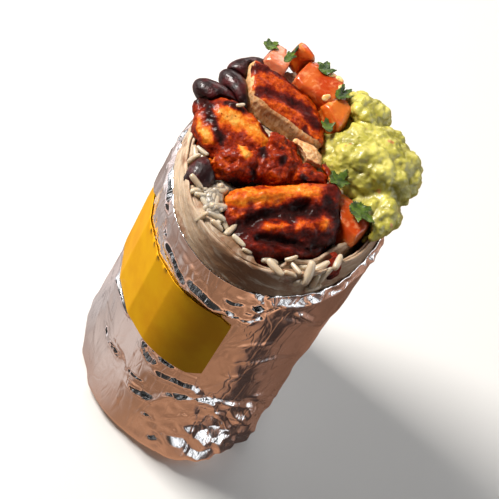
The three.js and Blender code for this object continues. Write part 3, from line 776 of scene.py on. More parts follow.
def flattened(degrees):
    """How far the flat facets at the left lie inside the oval, as a chord lies in its arc."""
    for start, end in FLATS:
        if start < degrees < end:
            half = math.radians(end - start) / 2
            slant_of_chord = math.cos(math.radians(degrees - start) - half)
            return MEAN_RADIUS * (math.cos(half) / slant_of_chord - 1)
    return 0.0


def foot_spread(degrees, height):
    """The foot stands wider at the lower right, where the ends are screwed together."""
    turn = signed(degrees)
    wide = 2.9 * hump(turn, SPREAD_ANGLE, 24) + 2.2 * hump(turn, EAR_ANGLE, 8)
    return wide * (1 - ease(3, 17, height)) * ease(-0.8, 1.6, height)


def foil_out(degrees, height):
    """How far the foil stands off the plain oval."""
    turn = signed(degrees)
    place = Vector(on_wrap(degrees, height))
    across = turn * ARC
    behind = ease(120, 175, abs(turn)) if turn > 0 else 0.0
    # large flat panels, pulled towards the lower left on the right side
    lean = height + 0.45 * across if turn > -75 else height - 0.3 * across
    out = 0.35 + 0.32 * rough(place, 18) + flattened(turn) * (1 - ease(84, 92, height))
    calm = 1 - 0.7 * hump(turn, CALM_ANGLE, 26)
    panels = 0.55 * calm * facets(across, lean, 13, 1) + 0.2 * facets(across, lean, 5.5, 2)
    out += panels * (1 - behind)
    # the drawn folds, whose lines wander a little
    fold_x = across + 0.5 * rough(place, 9, 20)
    fold_y = height + 0.5 * rough(place, 9, 21) + 0.45 * facets(across, height, 3.4, 22)
    out += folded(fold_x, fold_y)
    # the outer layer's ragged edge on the right, and the gathers beside it
    edge = along(LAP_EDGE, height) + 1.8 * rough(place, 4, 7) + 1.0 * rough(place, 1.6, 8)
    past = (turn - edge) * LAP_ARC
    inside_lap = ease(-0.35, 0.35, past) * (1 - ease(100, 140, turn))
    out += 0.55 * inside_lap * ease(64, 72, height)
    gather = hump(past, -3, 4.2) * ease(72, 80, height)
    out += gather * 0.8 * facets(across, height, 3.0, 3)
    # the rim: it leans in on the dough, crumpled where it is folded over
    below = foil_top(degrees) - height
    lip = along(EDGES, turn)
    band = 1 - ease(3.6, 4.8, below + 0.8 * rough(place, 4, 19))
    leaning = 0.5 * min(4.4, below) - 0.75 + 0.85 * facets(across, height, 2.6, 4)
    out += band * (leaning - out) * lip
    out += (1 - ease(3, 6, below)) * (0.1 - out) * (1 - lip)
    # a second slack fold and the hem, where the tail comes up from below
    hem = along(HEM, turn) + 0.9 * rough(place, 5, 13) + 0.4 * rough(place, 1.7, 14)
    out += 0.35 * (1 - ease(hem - 0.3, hem + 0.5, height))
    out += hump(height, hem, 5) * 0.35 * facets(across, height, 4.0, 5)
    # screwed together at the lower right
    right_foot = hump(turn, SCREWED_ANGLE, 29) * (1 - ease(20, 37, height))
    screwed = 3.0 * facets(across, height, 6.5, 6) + 2.1 * facets(across, height, 3.2, 7) + 0.7
    out += right_foot * screwed
    # a creased foot all round
    out += 0.5 * (1 - ease(4, 12, height)) * facets(across, height, 5.0, 8)
    out = max(DEEPEST, out)
    # pressed flat under the sticker
    flat = near_label(degrees, height)
    pressed = 0.1 + 0.06 * rough(place, 6, 18) + flattened(turn)
    # the folded rim hangs over the sticker at the far left
    far_left = hump(degrees % 360, FAR_LEFT_ANGLE, 8)
    lowest = 73.6 + 1.6 * rough(place, 5, 24) + 4 * (1 - far_left)
    hang = 1.1 * ease(0.15, 0.5, far_left) * ease(lowest, lowest + 1.2, height)
    hang *= 1 - ease(86, 92, height)
    return out + (pressed - out) * flat + hang


print("relief at the front, half way up:", round(foil_out(-90, 45), 2), "mm")

# %% [markdown]
# With the rules in place the foil is rolled as one closed cup: out along the underside, up
# the wall, over the rim, down the inside and in along the floor. The inside is smooth but
# near the rim, because food lies against it.

# %% Roll the foil
FOIL_THICKNESS = 0.3
FOIL_FLOOR = 0.8
FLOOR_INSET = -3.0
# Shares of the way out along the underside and the floor inside, and heights in the foot.
UNDERSIDE = (0.0, 0.3, 0.6, 0.82, 0.93, 1.0)
FLOOR_SHARES = (0.97, 0.5, 0.0)
FOOT_HEIGHTS = (0.15, 0.5, 1.0, 1.6, 2.3, 3.1, 4.0)
# Shares of the height down the inside, and how smooth the foil is there.
INSIDE = ((1.0, 0.0), (0.98, 0.2), (0.955, 0.7), (0.9, 1.0), (0.5, 1.0), (0.1, 1.0))


def foil_foot(height):
    """A station in the rounded foot, where the relief dies out downwards."""
    def place(degrees):
        relief = foil_out(degrees, height) * (0.25 + 0.15 * height)
        return on_wrap(degrees, height, relief + foot_spread(degrees, height))
    return place


def foil_wall(share):
    """A station of the outer wall, at a share of its height."""
    def place(degrees):
        height = FOOT_ROUND + (foil_top(degrees) - FOOT_ROUND) * share
        return on_wrap(degrees, height, foil_out(degrees, height) + foot_spread(degrees, height))
    return place


def foil_inside(share, smooth):
    """A station of the inner wall. It follows the outer one, but as smooth as is asked."""
    def place(degrees):
        height = FOIL_FLOOR + (foil_top(degrees) - FOIL_FLOOR) * share
        out = foil_out(degrees, height) - FOIL_THICKNESS
        return on_wrap(degrees, height, min(out, -0.15) * smooth + out * (1 - smooth))
    return place


stations = [flat_ring(0, 0, share) for share in UNDERSIDE]
stations += [foil_foot(height) for height in FOOT_HEIGHTS]
stations += [foil_wall(row / FOIL_ROWS) for row in range(FOIL_ROWS + 1)]
stations += [foil_inside(share, smooth) for share, smooth in INSIDE]
stations += [flat_ring(FOIL_FLOOR, FLOOR_INSET, share) for share in FLOOR_SHARES]
foil = rolled("foil", FOIL_COLUMNS, stations)
print("foil:", len(foil.data.vertices), "points")

# %% [markdown]
# ### The foil's finish
#
# Aluminium has no colour of its own to speak of: it is a neutral metal, and its brown comes
# from the mirrored table. Rolling leaves very fine lines, and handling leaves small dents
# and creases that are far finer than the grid, so those are relief in the material.

# %% Aluminium
ALUMINIUM = (0.9, 0.885, 0.88)
metal = Finish("aluminium", base_color=ALUMINIUM, metallic=1.0)
slant = metal.stretched((1.0, 1.0, 0.4), (0.0, 0.55, 0.0))
upright = metal.stretched((1.0, 1.0, 0.3))


def ridged(size, where, width):
    """Thin lines where noise crosses its middle."""
    from_middle = metal.math("SUBTRACT", metal.noise(size, 3.0, 0.5, 0.5, where), 0.5)
    return metal.step(metal.math("ABSOLUTE", from_middle), 0.0, width)


relief = metal.bump(metal.noise(9.0, 2.0, 0.5, 0.4, slant), 0.8, 0.5)
relief = metal.bump(ridged(12.0, slant, 0.035), 0.16, 0.5, relief)
relief = metal.bump(ridged(9.0, upright, 0.03), 0.14, 0.5, relief)
relief = metal.bump(metal.noise(1.8, 3.0, 0.55, 0.6, slant), 0.04, 0.5, relief)
metal.set("normal", relief)
metal.set("roughness", metal.step(metal.noise(12, 2.0), 0.3, 0.7, (0.13, 0.23)))
dress(foil, metal, "foil", "foil_wrap")

# %% [markdown]
# ## The sticker
#
# A sticker is stiff paper: it bends one way only and bridges the foil's small dents. The
# CAD sheet has the right outline. It only needs finer squares, and to be laid on the oval
# again, so that it lies flat where the wrap's left side has flat facets and turns evenly
# between them. The place for words stays bare.

# %% The sticker and its yellow coat
sticker = welded("label", "sticker")
apply(sticker, "SUBSURF", subdivision_type="SIMPLE", levels=3, render_levels=3)
# How far the middle of the CAD sheet stands off the oval, and how thick it is.
CAD_PAPER_MIDDLE, CAD_PAPER = 0.46, 0.41
# The real paper: how far it stands off the oval, and how thick it is.
PAPER_STANDS, PAPER = 0.42, 0.24
# A face that turns outwards less than this is on the sheet's thin edge.
FACES_OUT = 0.12
SHARP_EDGE = math.radians(40)


def bridge(place, normal):
    """Lays the paper on the oval again, flat where the wrap has a flat facet."""
    turn = math.degrees(math.atan2(place.y / HALF_DEPTH, place.x / HALF_WIDTH))
    flat = Vector(on_wrap(turn, place.z))
    outwards = Vector((place.x, place.y, 0)).normalized()
    stands = PAPER_STANDS + flattened(turn) + 0.12 * rough(place, 14, 30)
    faces = normal.dot(outwards)
    if abs(faces) > FACES_OUT:
        through = 1.0 if faces > 0 else 0.0
    else:
        through = 0.5 + ((place - flat).dot(outwards) - CAD_PAPER_MIDDLE) / CAD_PAPER
    return flat + outwards * (stands + PAPER * min(1.0, max(0.0, through))) - place


reshape(sticker, bridge)
only(sticker)
bpy.ops.object.shade_smooth_by_angle(angle=SHARP_EDGE)
yellow = Finish("yellow_paper", roughness=0.55, specular_ior_level=0.22)
YELLOW_DEEP, YELLOW_PALE = rgb(230, 160, 0), rgb(240, 178, 6)
yellow.set("base_color", yellow.over(YELLOW_DEEP, YELLOW_PALE, yellow.noise(9, 3.0), 0.3, 0.75))
yellow.set("normal", yellow.bump(yellow.noise(0.9, 2.0), 0.03))
dress(sticker, yellow, "label", "label")

# %% [markdown]
# ## The tortilla
#
# A flour tortilla is soft and floury, with toasted freckles where bubbles touched the
# griddle. Two layers of it lie against the foil from the left round to the front, where the
# outer layer ends. Its rolled end stands inside the cup as a second wall at the right, and
# a torn lip leans in over the rice at the front. All are rolled grids, with slow waves.

# %% The tortilla cup
TORTILLA_COLUMNS = 300
TORTILLA_TOP, TORTILLA_SLOPE, TORTILLA_FOOT = 101.5, 0.06, 7.2
# Where the outer of the two layers ends, in degrees.
LAYER_END = -63.0


def tortilla_top(degrees):
    """The cup's rim, in slow and quick waves."""
    place = on_wrap(degrees, 0)
    level_top = TORTILLA_TOP + TORTILLA_SLOPE * depth(degrees)
    return level_top + 0.9 * rough(place, 15, 40) + 0.4 * rough(place, 4, 41)


def tortilla_inset(degrees, height):
    """How far the cup's outside lies inside the plain oval."""
    place = on_wrap(degrees, height)
    turn = signed(degrees) + 0.3 * (height - 92) + 1.5 * rough(place, 4, 39)
    one_layer = ease(LAYER_END - 1.2, LAYER_END + 1.2, turn)
    one_layer *= 1 - ease(90, 150, turn)
    one_layer *= ease(70, 84, height)
    free = ease(foil_top(degrees) - 2, tortilla_top(degrees), height)
    wave = 0.4 * rough(place, 13, 42) + 0.2 * rough((place[0], place[1], height * 2.2), 5, 43)
    return 0.45 + 0.5 * one_layer + 0.9 * free + wave * (0.3 + free)


def tortilla_ring(share, deeper=0.0, over=0.0):
    """A ring at a share of the height, deeper millimetres inwards and over millimetres up."""
    def place(degrees):
        height = TORTILLA_FOOT + (tortilla_top(degrees) - TORTILLA_FOOT) * share
        thick = 1.0 - 0.25 * ease(LAYER_END, LAYER_END + 5, signed(degrees))
        x, y, _ = on_wrap(degrees, height, -tortilla_inset(degrees, height) - deeper * thick)
        return x, y, height + over + (0.3 * rough((x, y, 3), 2.6, 44) if over else 0.0)
    return place


# Shares of the way out underneath and inside, and shares of the height up and down the wall.
UNDER_SHARES, INNER_FLOOR_SHARES = (0.0, 0.5, 0.9, 0.98), (0.9, 0.4, 0.0)
UNDER_INSET, INNER_FLOOR_INSET, INNER_FLOOR_RISE = -4.5, -5.0, 3
LOW_SHARES = (0.02, 0.06, 0.2, 0.4, 0.6, 0.75)
FINE_FROM, FINE_ROWS = 0.75, 34
FINE_SHARES = [FINE_FROM + (1 - FINE_FROM) * row / FINE_ROWS for row in range(1, FINE_ROWS)]
DOWN_SHARES, WALL = (0.985, 0.96, 0.92, 0.86, 0.6, 0.1), 2.5
# Over the rim: how deep in, and how far up.
RIM = (
    (0.2, 0.0), (0.55, 0.3), (0.95, 0.25), (1.2, -0.5),
    (1.35, -0.6), (1.6, -0.05), (2.0, 0.0), (2.3, -0.4),
)
inner_floor = TORTILLA_FOOT + INNER_FLOOR_RISE
stations = [flat_ring(TORTILLA_FOOT, UNDER_INSET, share) for share in UNDER_SHARES]
stations += [tortilla_ring(share) for share in LOW_SHARES]
stations += [tortilla_ring(share) for share in FINE_SHARES]
stations += [tortilla_ring(1.0, deeper, over) for deeper, over in RIM]
stations += [tortilla_ring(share, WALL) for share in DOWN_SHARES]
stations += [flat_ring(inner_floor, INNER_FLOOR_INSET, share) for share in INNER_FLOOR_SHARES]
tortilla = rolled("tortilla_cup", TORTILLA_COLUMNS, stations)
reshape(tortilla, lambda place, normal: 0.1 * rough(place, 2.2, 38) * ease(80, 90, place.z))
print("tortilla:", len(tortilla.data.polygons), "faces")

# %% [markdown]
# The rolled end and the torn lip are thin strips that stand or lean inside the cup. A strip
# is an open grid, laid by a rule and given its thickness by Solidify. Its ends taper away
# into the cup, so that no cut edge shows.

# %% The rolled end and the torn lip
def strip_of(name, columns, rows, place, thickness):
    """An open strip of dough: a grid laid by place(share along, share across) and thickened."""
    only(floor)
    bpy.ops.mesh.primitive_grid_add(x_subdivisions=columns, y_subdivisions=rows, size=1.0)
    piece = bpy.context.object
    piece.name = name
    for point in piece.data.vertices:
        point.co = Vector(place(point.co.x + 0.5, point.co.y + 0.5)) * MM
    apply(piece, "SOLIDIFY", thickness=thickness * MM, offset=0.0)
    apply(piece, "SUBSURF", levels=1, render_levels=1)
    reshape(piece, lambda at, normal: 0.16 * rough(at, 2.4, 48) + 0.08 * rough(at, 1.1, 49))
    only(piece)
    bpy.ops.object.shade_smooth()
    return piece


# Both strips' ends in degrees, and the rolled end's foot and inset in millimetres.
END_FROM, END_TO = -72.0, 34.0
LIP_FROM, LIP_TO = -163.0, -80.0
END_FOOT, END_INSET = 84, 5.6
END_THICKNESS, LIP_THICKNESS = 1.3, 0.8


def rolled_end(share_round, share_up):
    """The tortilla's inner end: a second wall that leans in a little."""
    turn = END_FROM + (END_TO - END_FROM) * share_round
    place = Vector(on_wrap(turn, 90))
    top = tortilla_top(turn) + 0.4 + 1.6 * rough(place, 7, 36) + 0.6 * rough(place, 2.4, 35)
    top -= 4 * (1 - ease(0, 0.14, share_round))
    top -= 4 * ease(0.85, 1, share_round)
    height = END_FOOT + (top - END_FOOT) * share_up
    inset = END_INSET + 1.5 * share_up ** 2 + 0.8 * rough((place.x, place.y, height), 8, 34)
    return on_wrap(turn, height, -inset)


def torn_lip(share_round, share_in):
    """A thin lip of dough that leans in over the rice and ends raggedly."""
    turn = LIP_FROM + (LIP_TO - LIP_FROM) * share_round
    place = Vector(on_wrap(turn, 100))
    ragged = 3.6 + 2.6 * rough(place, 9, 45) + 1.5 * rough(place, 2.6, 46)
    ragged *= ease(0, 0.12, share_round) * (1 - ease(0.93, 1.0, share_round))
    inset = 3.0 + max(0.4, ragged) * share_in
    height = tortilla_top(turn) - 0.2 + 0.9 * share_in
    height += 0.9 * rough(place, 6, 47) * share_in
    height -= 1.3 * share_in * share_in
    return on_wrap(turn, height, -inset)


STRIP_COLUMNS, END_ROWS, LIP_ROWS = 110, 22, 8
end = strip_of("tortilla_rolled_end", STRIP_COLUMNS, END_ROWS, rolled_end, END_THICKNESS)
lip = strip_of("tortilla_torn_lip", STRIP_COLUMNS, LIP_ROWS, torn_lip, LIP_THICKNESS)
print("strips of dough:", len(end.data.polygons) + len(lip.data.polygons), "faces")

# %% [markdown]
# ### The dough's finish
#
# The dough is pale and floury at the left, with painted shade that makes it browner at the
# front and on round the right. Its soft streaks run along the way that it was rolled, so
# each point is told how far round the wrap it lies, and the streaks read that.

# %% Flour dough
DOUGH_PIECES = (tortilla, end, lip)


def around(place, normal):
    """How many millimetres round the wrap a point lies."""
    return math.atan2(place.y / HALF_DEPTH, place.x / HALF_WIDTH) * MEAN_RADIUS


def dough_shade(place, normal):
    """Painted shade: darker at the front and on round the right, and less so at the rim."""
    far = around(place, normal)
    return max(hump(far, -56, 24), 0.6 * ease(-50, -30, far)) * (1 - 0.5 * ease(100, 103, place.z))


for piece in DOUGH_PIECES:
    paint(piece, "around", around)
    paint(piece, "dough_shade", dough_shade)
dough = Finish(
    "flour_dough", roughness=0.6, subsurface_weight=0.2, subsurface_scale=0.003,
    coat_weight=0.08, coat_roughness=0.4,
)
dough.set("subsurface_radius", (1.0, 0.6, 0.35))
_, up = dough.node("ShaderNodeSeparateXYZ", "Z", Vector=dough.place)
# Metres of the pattern for each millimetre round the wrap, few enough to draw the streaks
# long, and how much they slant.
LENGTHWISE, SLANT = 0.00022, 0.9
lengthwise = dough.math("MULTIPLY", dough.painted("around"), LENGTHWISE)
slanted_up = dough.math("ADD", up, dough.math("MULTIPLY", lengthwise, SLANT))
_, unrolled_place = dough.node("ShaderNodeCombineXYZ", "Vector", X=lengthwise, Y=slanted_up)
streak = dough.noise(2.6, 4.0, 0.6, 0.4, where=unrolled_place)
freckles = dough.step(dough.noise(6, 5.0, 0.62), 0.5, 0.66)
toast = dough.math("MULTIPLY", freckles, dough.step(dough.noise(17, 2.0), 0.4, 0.55))
DOUGH_PALE, DOUGH_IN_SHADE = rgb(214, 188, 158), rgb(116, 80, 50)
FLOURY, CREASED = rgb(232, 216, 194), rgb(138, 102, 70)
SPOTTED, TOASTED = rgb(150, 108, 70), rgb(128, 74, 38)
# painted shade: the dough is laid darker at the front and on round the right
tone = dough.mix(dough.painted("dough_shade"), DOUGH_PALE, DOUGH_IN_SHADE)
tone = dough.over(tone, FLOURY, streak, 0.5, 0.72, 0.6)
tone = dough.over(tone, CREASED, streak, 0.5, 0.28, 0.6)
tone = dough.over(tone, SPOTTED, dough.noise(2.2, 5.0, 0.65), 0.56, 0.74, 0.5)
dough.set("base_color", dough.mix(dough.math("MULTIPLY", toast, 0.75), tone, TOASTED))
skin = dough.bump(dough.noise(1.0, 4.0, 0.6), 0.25, 0.6)
dough.set("normal", dough.bump(streak, 1.0, 0.7, skin))
for piece in DOUGH_PIECES:
    dress(piece, dough, "tortilla", "tortilla")

# %% [markdown]
# ## Guacamole
#
# Mashed avocado is a paste full of soft lumps, wet enough to shine on each of them. Lumps
# of three sizes are pushed out of an even skin: the paste's own heaps, the mashed pieces,
# and the fine curds. Metaballs could do the same, but a skin keeps to the CAD shape.

# %% Guacamole
# The skin's squares and the sizes of the lumps in millimetres, and how many times it is smoothed.
PASTE_SQUARES, PASTE_ROUNDS = 0.42, 3
LUMP, SMALL_LUMP = 4.6, 2.1
guacamole = welded("guacamole", "guacamole_heap", PASTE_SQUARES, PASTE_ROUNDS)


def mashed(place, normal):
    """Soft lumps of three sizes."""
    near, _ = noise.voronoi(place / LUMP + Vector((3, 1, 2)))
    small, _ = noise.voronoi(place / SMALL_LUMP + Vector((8, 4, 6)))
    fewer = ease(-0.25, 0.25, rough(place, 6, 52))
    lump = 2.2 * (0.55 - near[0] ** 1.4) + (0.2 + 0.6 * fewer) * (0.55 - small[0] ** 1.3)
    heaps = lump + 0.7 * rough(place, 9, 50)
    return heaps + 0.3 * rough(place, 1.3, 51) + 0.16 * rough(place, 0.7, 53) - 0.2


def hollow_shade(place, normal):
    """1 in the valleys between lumps, where the paste is painted darker as painted shade."""
    return 1 - ease(-0.5, 0.6, mashed(place, normal))


paint(guacamole, "hollow_shade", hollow_shade)
reshape(guacamole, mashed)
apply(guacamole, "SMOOTH", factor=0.25, iterations=1)
paste = Finish(
    "mashed_avocado", roughness=0.45, subsurface_weight=0.2, subsurface_scale=0.002,
    coat_weight=0.32, coat_roughness=0.12,
)
paste.set("subsurface_radius", (0.9, 1.0, 0.3))
PASTE_DEEP, PASTE_PALE = rgb(170, 162, 58), rgb(206, 196, 92)
CREAMY, SHADED, ONION = rgb(236, 222, 134), rgb(118, 110, 26), rgb(196, 118, 72)
tone = paste.over(PASTE_DEEP, PASTE_PALE, paste.noise(9, 4.0, 0.55), 0.3, 0.7)
tone = paste.over(tone, CREAMY, paste.noise(2.4, 4.0, 0.6), 0.45, 0.75, 0.5)
# painted shade in the valleys between the lumps
tone = paste.over(tone, SHADED, paste.painted("hollow_shade"), 0.35, 1.0, 0.5)
tone = paste.over(tone, ONION, paste.noise(5.5, 2.0), 0.69, 0.72, 0.75)
paste.set("base_color", tone)
curds = paste.bump(paste.noise(2.0, 3.0), 0.5, 0.5)
paste.set("normal", paste.bump(paste.noise(0.9, 3.0, 0.55), 0.3, 0.6, curds))
dress(guacamole, paste, "guacamole", "guacamole")

# %% [markdown]
# ## Grilled chicken
#
# Each piece is thigh or breast that was rubbed with red spice, grilled until its ridges
# charred, and cut, so that pale fibres show on the cut sides. The outsides are knobbly and
# oily. One finish does for all of them: it reads three amounts that are painted on each
# piece's points, for char, for cut flesh and for golden skin, which on the front slab is
# partly a painted highlight, and breaks their edges up with noise. Painting on points costs
# nothing and keeps a stripe exactly where it lies.

# %% Brushes for the chicken
def brushed(place, strokes, wobble=0.9):
    """How much of the strokes, drawn in mm as the piece is seen from the front, lies on a point."""
    x, y = seen(place)
    x += wobble * rough(place, 2.4, 60)
    y += wobble * rough(place, 2.4, 61)
    best = 0.0
    for width, points in strokes:
        for (x0, y0), (x1, y1) in zip(points, points[1:] or points):
            run_x, run_y = x1 - x0, y1 - y0
            span = run_x ** 2 + run_y ** 2
            share = 0.0
            if span:
                share = min(1.0, max(0.0, ((x - x0) * run_x + (y - y0) * run_y) / span))
            gap = math.hypot(x - x0 - share * run_x, y - y0 - share * run_y)
            best = max(best, 1 - ease(0.15 * width, 1.8 * width, gap))
    return best


def shown(normal):
    """1 on faces that look to the front or up, 0 on those at the back."""
    return ease(-0.25, 0.1, normal.dot(back))


def meat(node, name, squares, gnarl, yaw, scorch, slot="chicken", char=(), pale=(), gold_and_highlight=(),
         cut=None, ridges=(), grooves=(), fierce=1.0):
    """A piece of chicken: sculpted, painted with strokes and dressed.

    gnarl is how knobbly it is, yaw the way its fibres run, scorch its least char, cut a rule
    for its cut faces, and fierce how dark the strokes of char are."""
    piece = welded(node, name, squares, 2)
    turn = Matrix.Rotation(math.radians(-yaw), 3, "Z")

    def knobs(place, normal):
        flesh = cut(place, normal) if cut else 0.0
        lengthwise = turn @ place
        strand = Vector((lengthwise.x * 0.3, lengthwise.y, lengthwise.z))
        bumps = 0.55 * rough(place, 4.4, 62) + 0.3 * rough(place, 1.9, 63)
        bumps += 0.16 * rough(place, 0.9, 64)
        muscle = 0.75 * rough(strand, 3.2, 69) + 0.25 * abs(rough(strand, 1.3, 59))
        knots = 1.1 * (creases(place, 3.6, 65) - 0.35)
        fibre = 0.1 * rough(Vector((place.x, place.y, place.z * 0.4)), 0.9, 66)
        folds = 1.1 * brushed(place, ridges, 0.6) - 1.4 * brushed(place, grooves, 0.6)
        outside = (bumps + muscle + gnarl * knots) * (1 - 0.8 * flesh)
        return outside + fibre * flesh + folds * shown(normal)

    def charred(place, normal):
        stripes = scorch + (1 - scorch) * shown(normal) * brushed(place, char) * fierce
        return max(stripes, (1 - shown(normal)) * ease(0.1, 0.5, rough(place, 6, 67)))

    def pale_flesh(place, normal):
        sliced = cut(place, normal) if cut else 0.0
        return max(shown(normal) * brushed(place, pale, 0.4), sliced)

    # gold strokes: golden crust, which on the front slab is partly a painted highlight
    def gold_and_highlight_share(place, normal):
        behind = (1 - shown(normal)) * ease(0.0, 0.4, rough(place, 9, 68))
        return max(shown(normal) * brushed(place, gold_and_highlight, 1.4), behind)

    reshape(piece, knobs)
    paint(piece, "char", charred)
    paint(piece, "pale", pale_flesh)
    paint(piece, "gold_and_highlight", gold_and_highlight_share)
    dress(piece, spiced, slot, node)


print("strokes are drawn in mm as seen from the front")

# %% [markdown]
# ### The chicken's finish
#
# The colour is one row that runs from amber through red to black. The painted char moves a
# point along it, the painted gold and highlight moves it back, and two noises break both up.
# Cut flesh is pale and fibrous, and lies over that row wherever it was painted.

# %% Spiced and charred chicken
CUT_DEEP, CUT_PALE = rgb(214, 146, 88), rgb(238, 196, 146)
SPECKS = rgb(64, 10, 0)
# How charred, and the colour there.
CHAR_ROW = (
    (0.0, rgb(236, 166, 74)),
    (0.12, rgb(222, 122, 26)),
    (0.28, rgb(194, 74, 4)),
    (0.42, rgb(134, 32, 0)),
    (0.57, rgb(86, 11, 0)),
    (0.75, rgb(50, 4, 0)),
    (1.0, rgb(20, 2, 0)),
)


def grilled(name):
    """Spiced chicken: from amber through red to black as it was nearer the fire."""
    made = Finish(
        name, subsurface_weight=0.1, subsurface_scale=0.002, coat_weight=0.12,
        coat_roughness=0.12, specular_ior_level=0.12,
    )
    made.set("subsurface_radius", (1.0, 0.35, 0.15))
    slow = made.math("SUBTRACT", made.noise(4.5, 4.0, 0.6), 0.5)
    quick = made.math("SUBTRACT", made.noise(1.0, 4.0, 0.7), 0.5)
    mixed = made.math("ADD", made.math("MULTIPLY", slow, 0.5), made.math("MULTIPLY", quick, 0.55))
    heat = made.math("MULTIPLY", made.painted("char"), 0.55)
    fire = made.math("ADD", heat, made.math("ADD", mixed, 0.34))
    fire = made.math("SUBTRACT", fire, made.math("MULTIPLY", made.painted("gold_and_highlight"), 0.4))
    tone = made.ramp(fire, CHAR_ROW)
    fibre = made.noise(1.0, 4.0, 0.6, 0.4, where=made.stretched((1.0, 1.0, 0.35)))
    white = made.over(CUT_DEEP, CUT_PALE, fibre, 0.35, 0.65)
    edge = made.math("ADD", made.painted("pale"), made.math("MULTIPLY", mixed, -0.55))
    tone = made.over(tone, white, edge, 0.35, 0.75)
    made.set("base_color", made.over(tone, SPECKS, made.noise(0.8, 2.0, 0.5), 0.66, 0.74, 0.8))
    made.set("roughness", made.step(fire, 0.3, 0.9, (0.36, 0.7)))
    strands = made.bump(made.noise(1.8, 5.0, 0.65), 0.7, 0.7)
    made.set("normal", made.bump(made.noise(0.7, 4.0, 0.65), 0.3, 0.7, strands))
    return made


spiced = grilled("spiced_chicken")
print(spiced.material.name, "has", len(spiced.tree.nodes), "nodes")

# %% [markdown]
# ### The pieces of chicken
#
# Each piece is its CAD node with the same treatment, and only its strokes differ. A stroke
# is a width and a line. The back slab was turned on the grill, so it has straight stripes,
# and its front and left end were cut by a knife. The front slab has deep grooves between
# ridges, charred in the grooves and golden along the ridges, where the gold is partly a
# painted highlight.

# %% The striped slab at the back
SLAB_SQUARES = 0.38


def slab_cut(place, normal):
    """The knife's faces: the front and the left end of the slab."""
    front = ease(0.45, 0.75, -normal.y * 0.9 - normal.z * 0.15)
    end = ease(0.5, 0.8, -normal.x) * ease(104.5, 106.5, place.z)
    return max(front * ease(-26.5, -25, place.x), end)


SLAB_STRIPES = (
    (1.5, ((-28.4, 50.9), (-25.5, 53.0), (-20.8, 54.5), (-13.5, 54.6), (-5.5, 54.4))),
    (2.0, ((-21.9, 45.9), (-20.3, 47.2), (-13.5, 48.8), (-6.8, 49.0), (-1.0, 46.5))),
    (1.0, ((-4.0, 44.0), (1.0, 41.0))),
)
meat(
    "chicken_top", "chicken_slab_back", SLAB_SQUARES, gnarl=0.1, yaw=-3, scorch=-0.42,
    char=SLAB_STRIPES, cut=slab_cut, fierce=0.74,
)

# %% The charred slab at the front
FRONT_GROOVES = (
    (1.7, ((-6.5, 5.0), (-4.2, 8.6), (-1.0, 13.3), (2.5, 16.4), (7.3, 20.1), (9.4, 23.2))),
    (1.2, ((2.1, 7.1), (9.4, 10.2), (16.1, 12.3))),
    (1.5, ((18.7, 13.9), (22.4, 14.9))),
)
FRONT_RIDGES = (
    (2.0, ((-15.6, 11.8), (-9.4, 15.4), (-3.1, 19.1), (3.1, 23.8), (8.9, 28.4))),
    (1.8, ((3.1, 11.0), (9.4, 14.9), (15.1, 20.1), (19.8, 23.2))),
    (1.5, ((-1.0, 2.4), (6.8, 6.6), (13.5, 9.2), (19.3, 9.2))),
)
FRONT_CHAR = (
    (2.3, ((-6.5, 5.0), (-4.2, 8.6), (-1.0, 13.3), (2.5, 16.0))),
    (3.2, ((5.5, 19.0), (8.5, 21.6), (12.0, 21.0))),
    (2.6, ((17.5, 14.0), (22.0, 17.0), (24.0, 20.0))),
    (1.2, ((-16.0, 10.5), (-13.0, 8.6), (-8.0, 7.6))),
    (1.3, ((2.1, 7.1), (9.4, 10.2), (16.1, 12.3))),
    (1.2, ((13.0, 28.6), (20.0, 25.4), (26.0, 19.0))),
)
# golden crust along the ridges, partly a painted highlight
FRONT_GOLD_AND_HIGHLIGHT = (
    (1.4, ((-16.0, 12.0), (-12.5, 16.5), (-5.0, 20.4), (1.0, 24.4), (6.5, 29.0))),
    (2.8, ((-13.0, 12.6), (-8.0, 15.6), (-1.0, 20.0), (4.0, 24.6), (9.0, 29.0))),
    (2.0, ((11.0, 17.5), (15.1, 21.1), (17.0, 21.5))),
    (1.6, ((-11.0, 8.0), (-6.0, 10.0))),
    (1.3, ((2.0, 12.5), (7.0, 14.6))),
)
meat(
    "chicken_front", "chicken_slab_front", SLAB_SQUARES, gnarl=0.25, yaw=37, scorch=0.42,
    char=FRONT_CHAR, gold_and_highlight=FRONT_GOLD_AND_HIGHLIGHT, ridges=FRONT_RIDGES, grooves=FRONT_GROOVES,
)

# %% The wedge at the left and the red knots in the middle
LEFT_CHAR = (
    (1.4, ((-38.5, 33.5), (-36.0, 35.0), (-33.0, 34.0))),
    (1.1, ((-33.0, 33.0), (-28.0, 30.0), (-24.0, 27.0))),
    (0.8, ((-29.0, 37.6), (-24.0, 38.8))),
    (0.8, ((-16.0, 37.5), (-10.0, 36.0))),
)
LEFT_GOLD = (
    (2.6, ((-27.0, 34.5), (-20.0, 35.5), (-13.0, 35.0))),
    (1.6, ((-33.0, 28.0), (-28.0, 25.0))),
)
meat(
    "chicken_left", "chicken_wedge", SLAB_SQUARES, gnarl=0.3, yaw=-20, scorch=0.2,
    char=LEFT_CHAR, gold_and_highlight=LEFT_GOLD,
)
MIDDLE_CHAR = (
    (1.1, ((-11.6, 31.4), (-11.0, 30.0))),
    (1.0, ((-4.6, 32.4), (-4.2, 31.0))),
    (0.9, ((-11.0, 23.5), (-9.6, 22.5))),
    (0.8, ((3.0, 30.6), (5.0, 30.0))),
    (1.2, ((-14.0, 18.0), (-8.0, 18.5), (-4.0, 21.0))),
)
MIDDLE_GOLD = ((1.2, ((-18.0, 29.0), (-15.0, 27.5))),)
KNOT_SQUARES = 0.34
meat(
    "chicken_middle", "chicken_knots", KNOT_SQUARES, gnarl=1.15, yaw=30, scorch=0.16,
    char=MIDDLE_CHAR, gold_and_highlight=MIDDLE_GOLD,
)

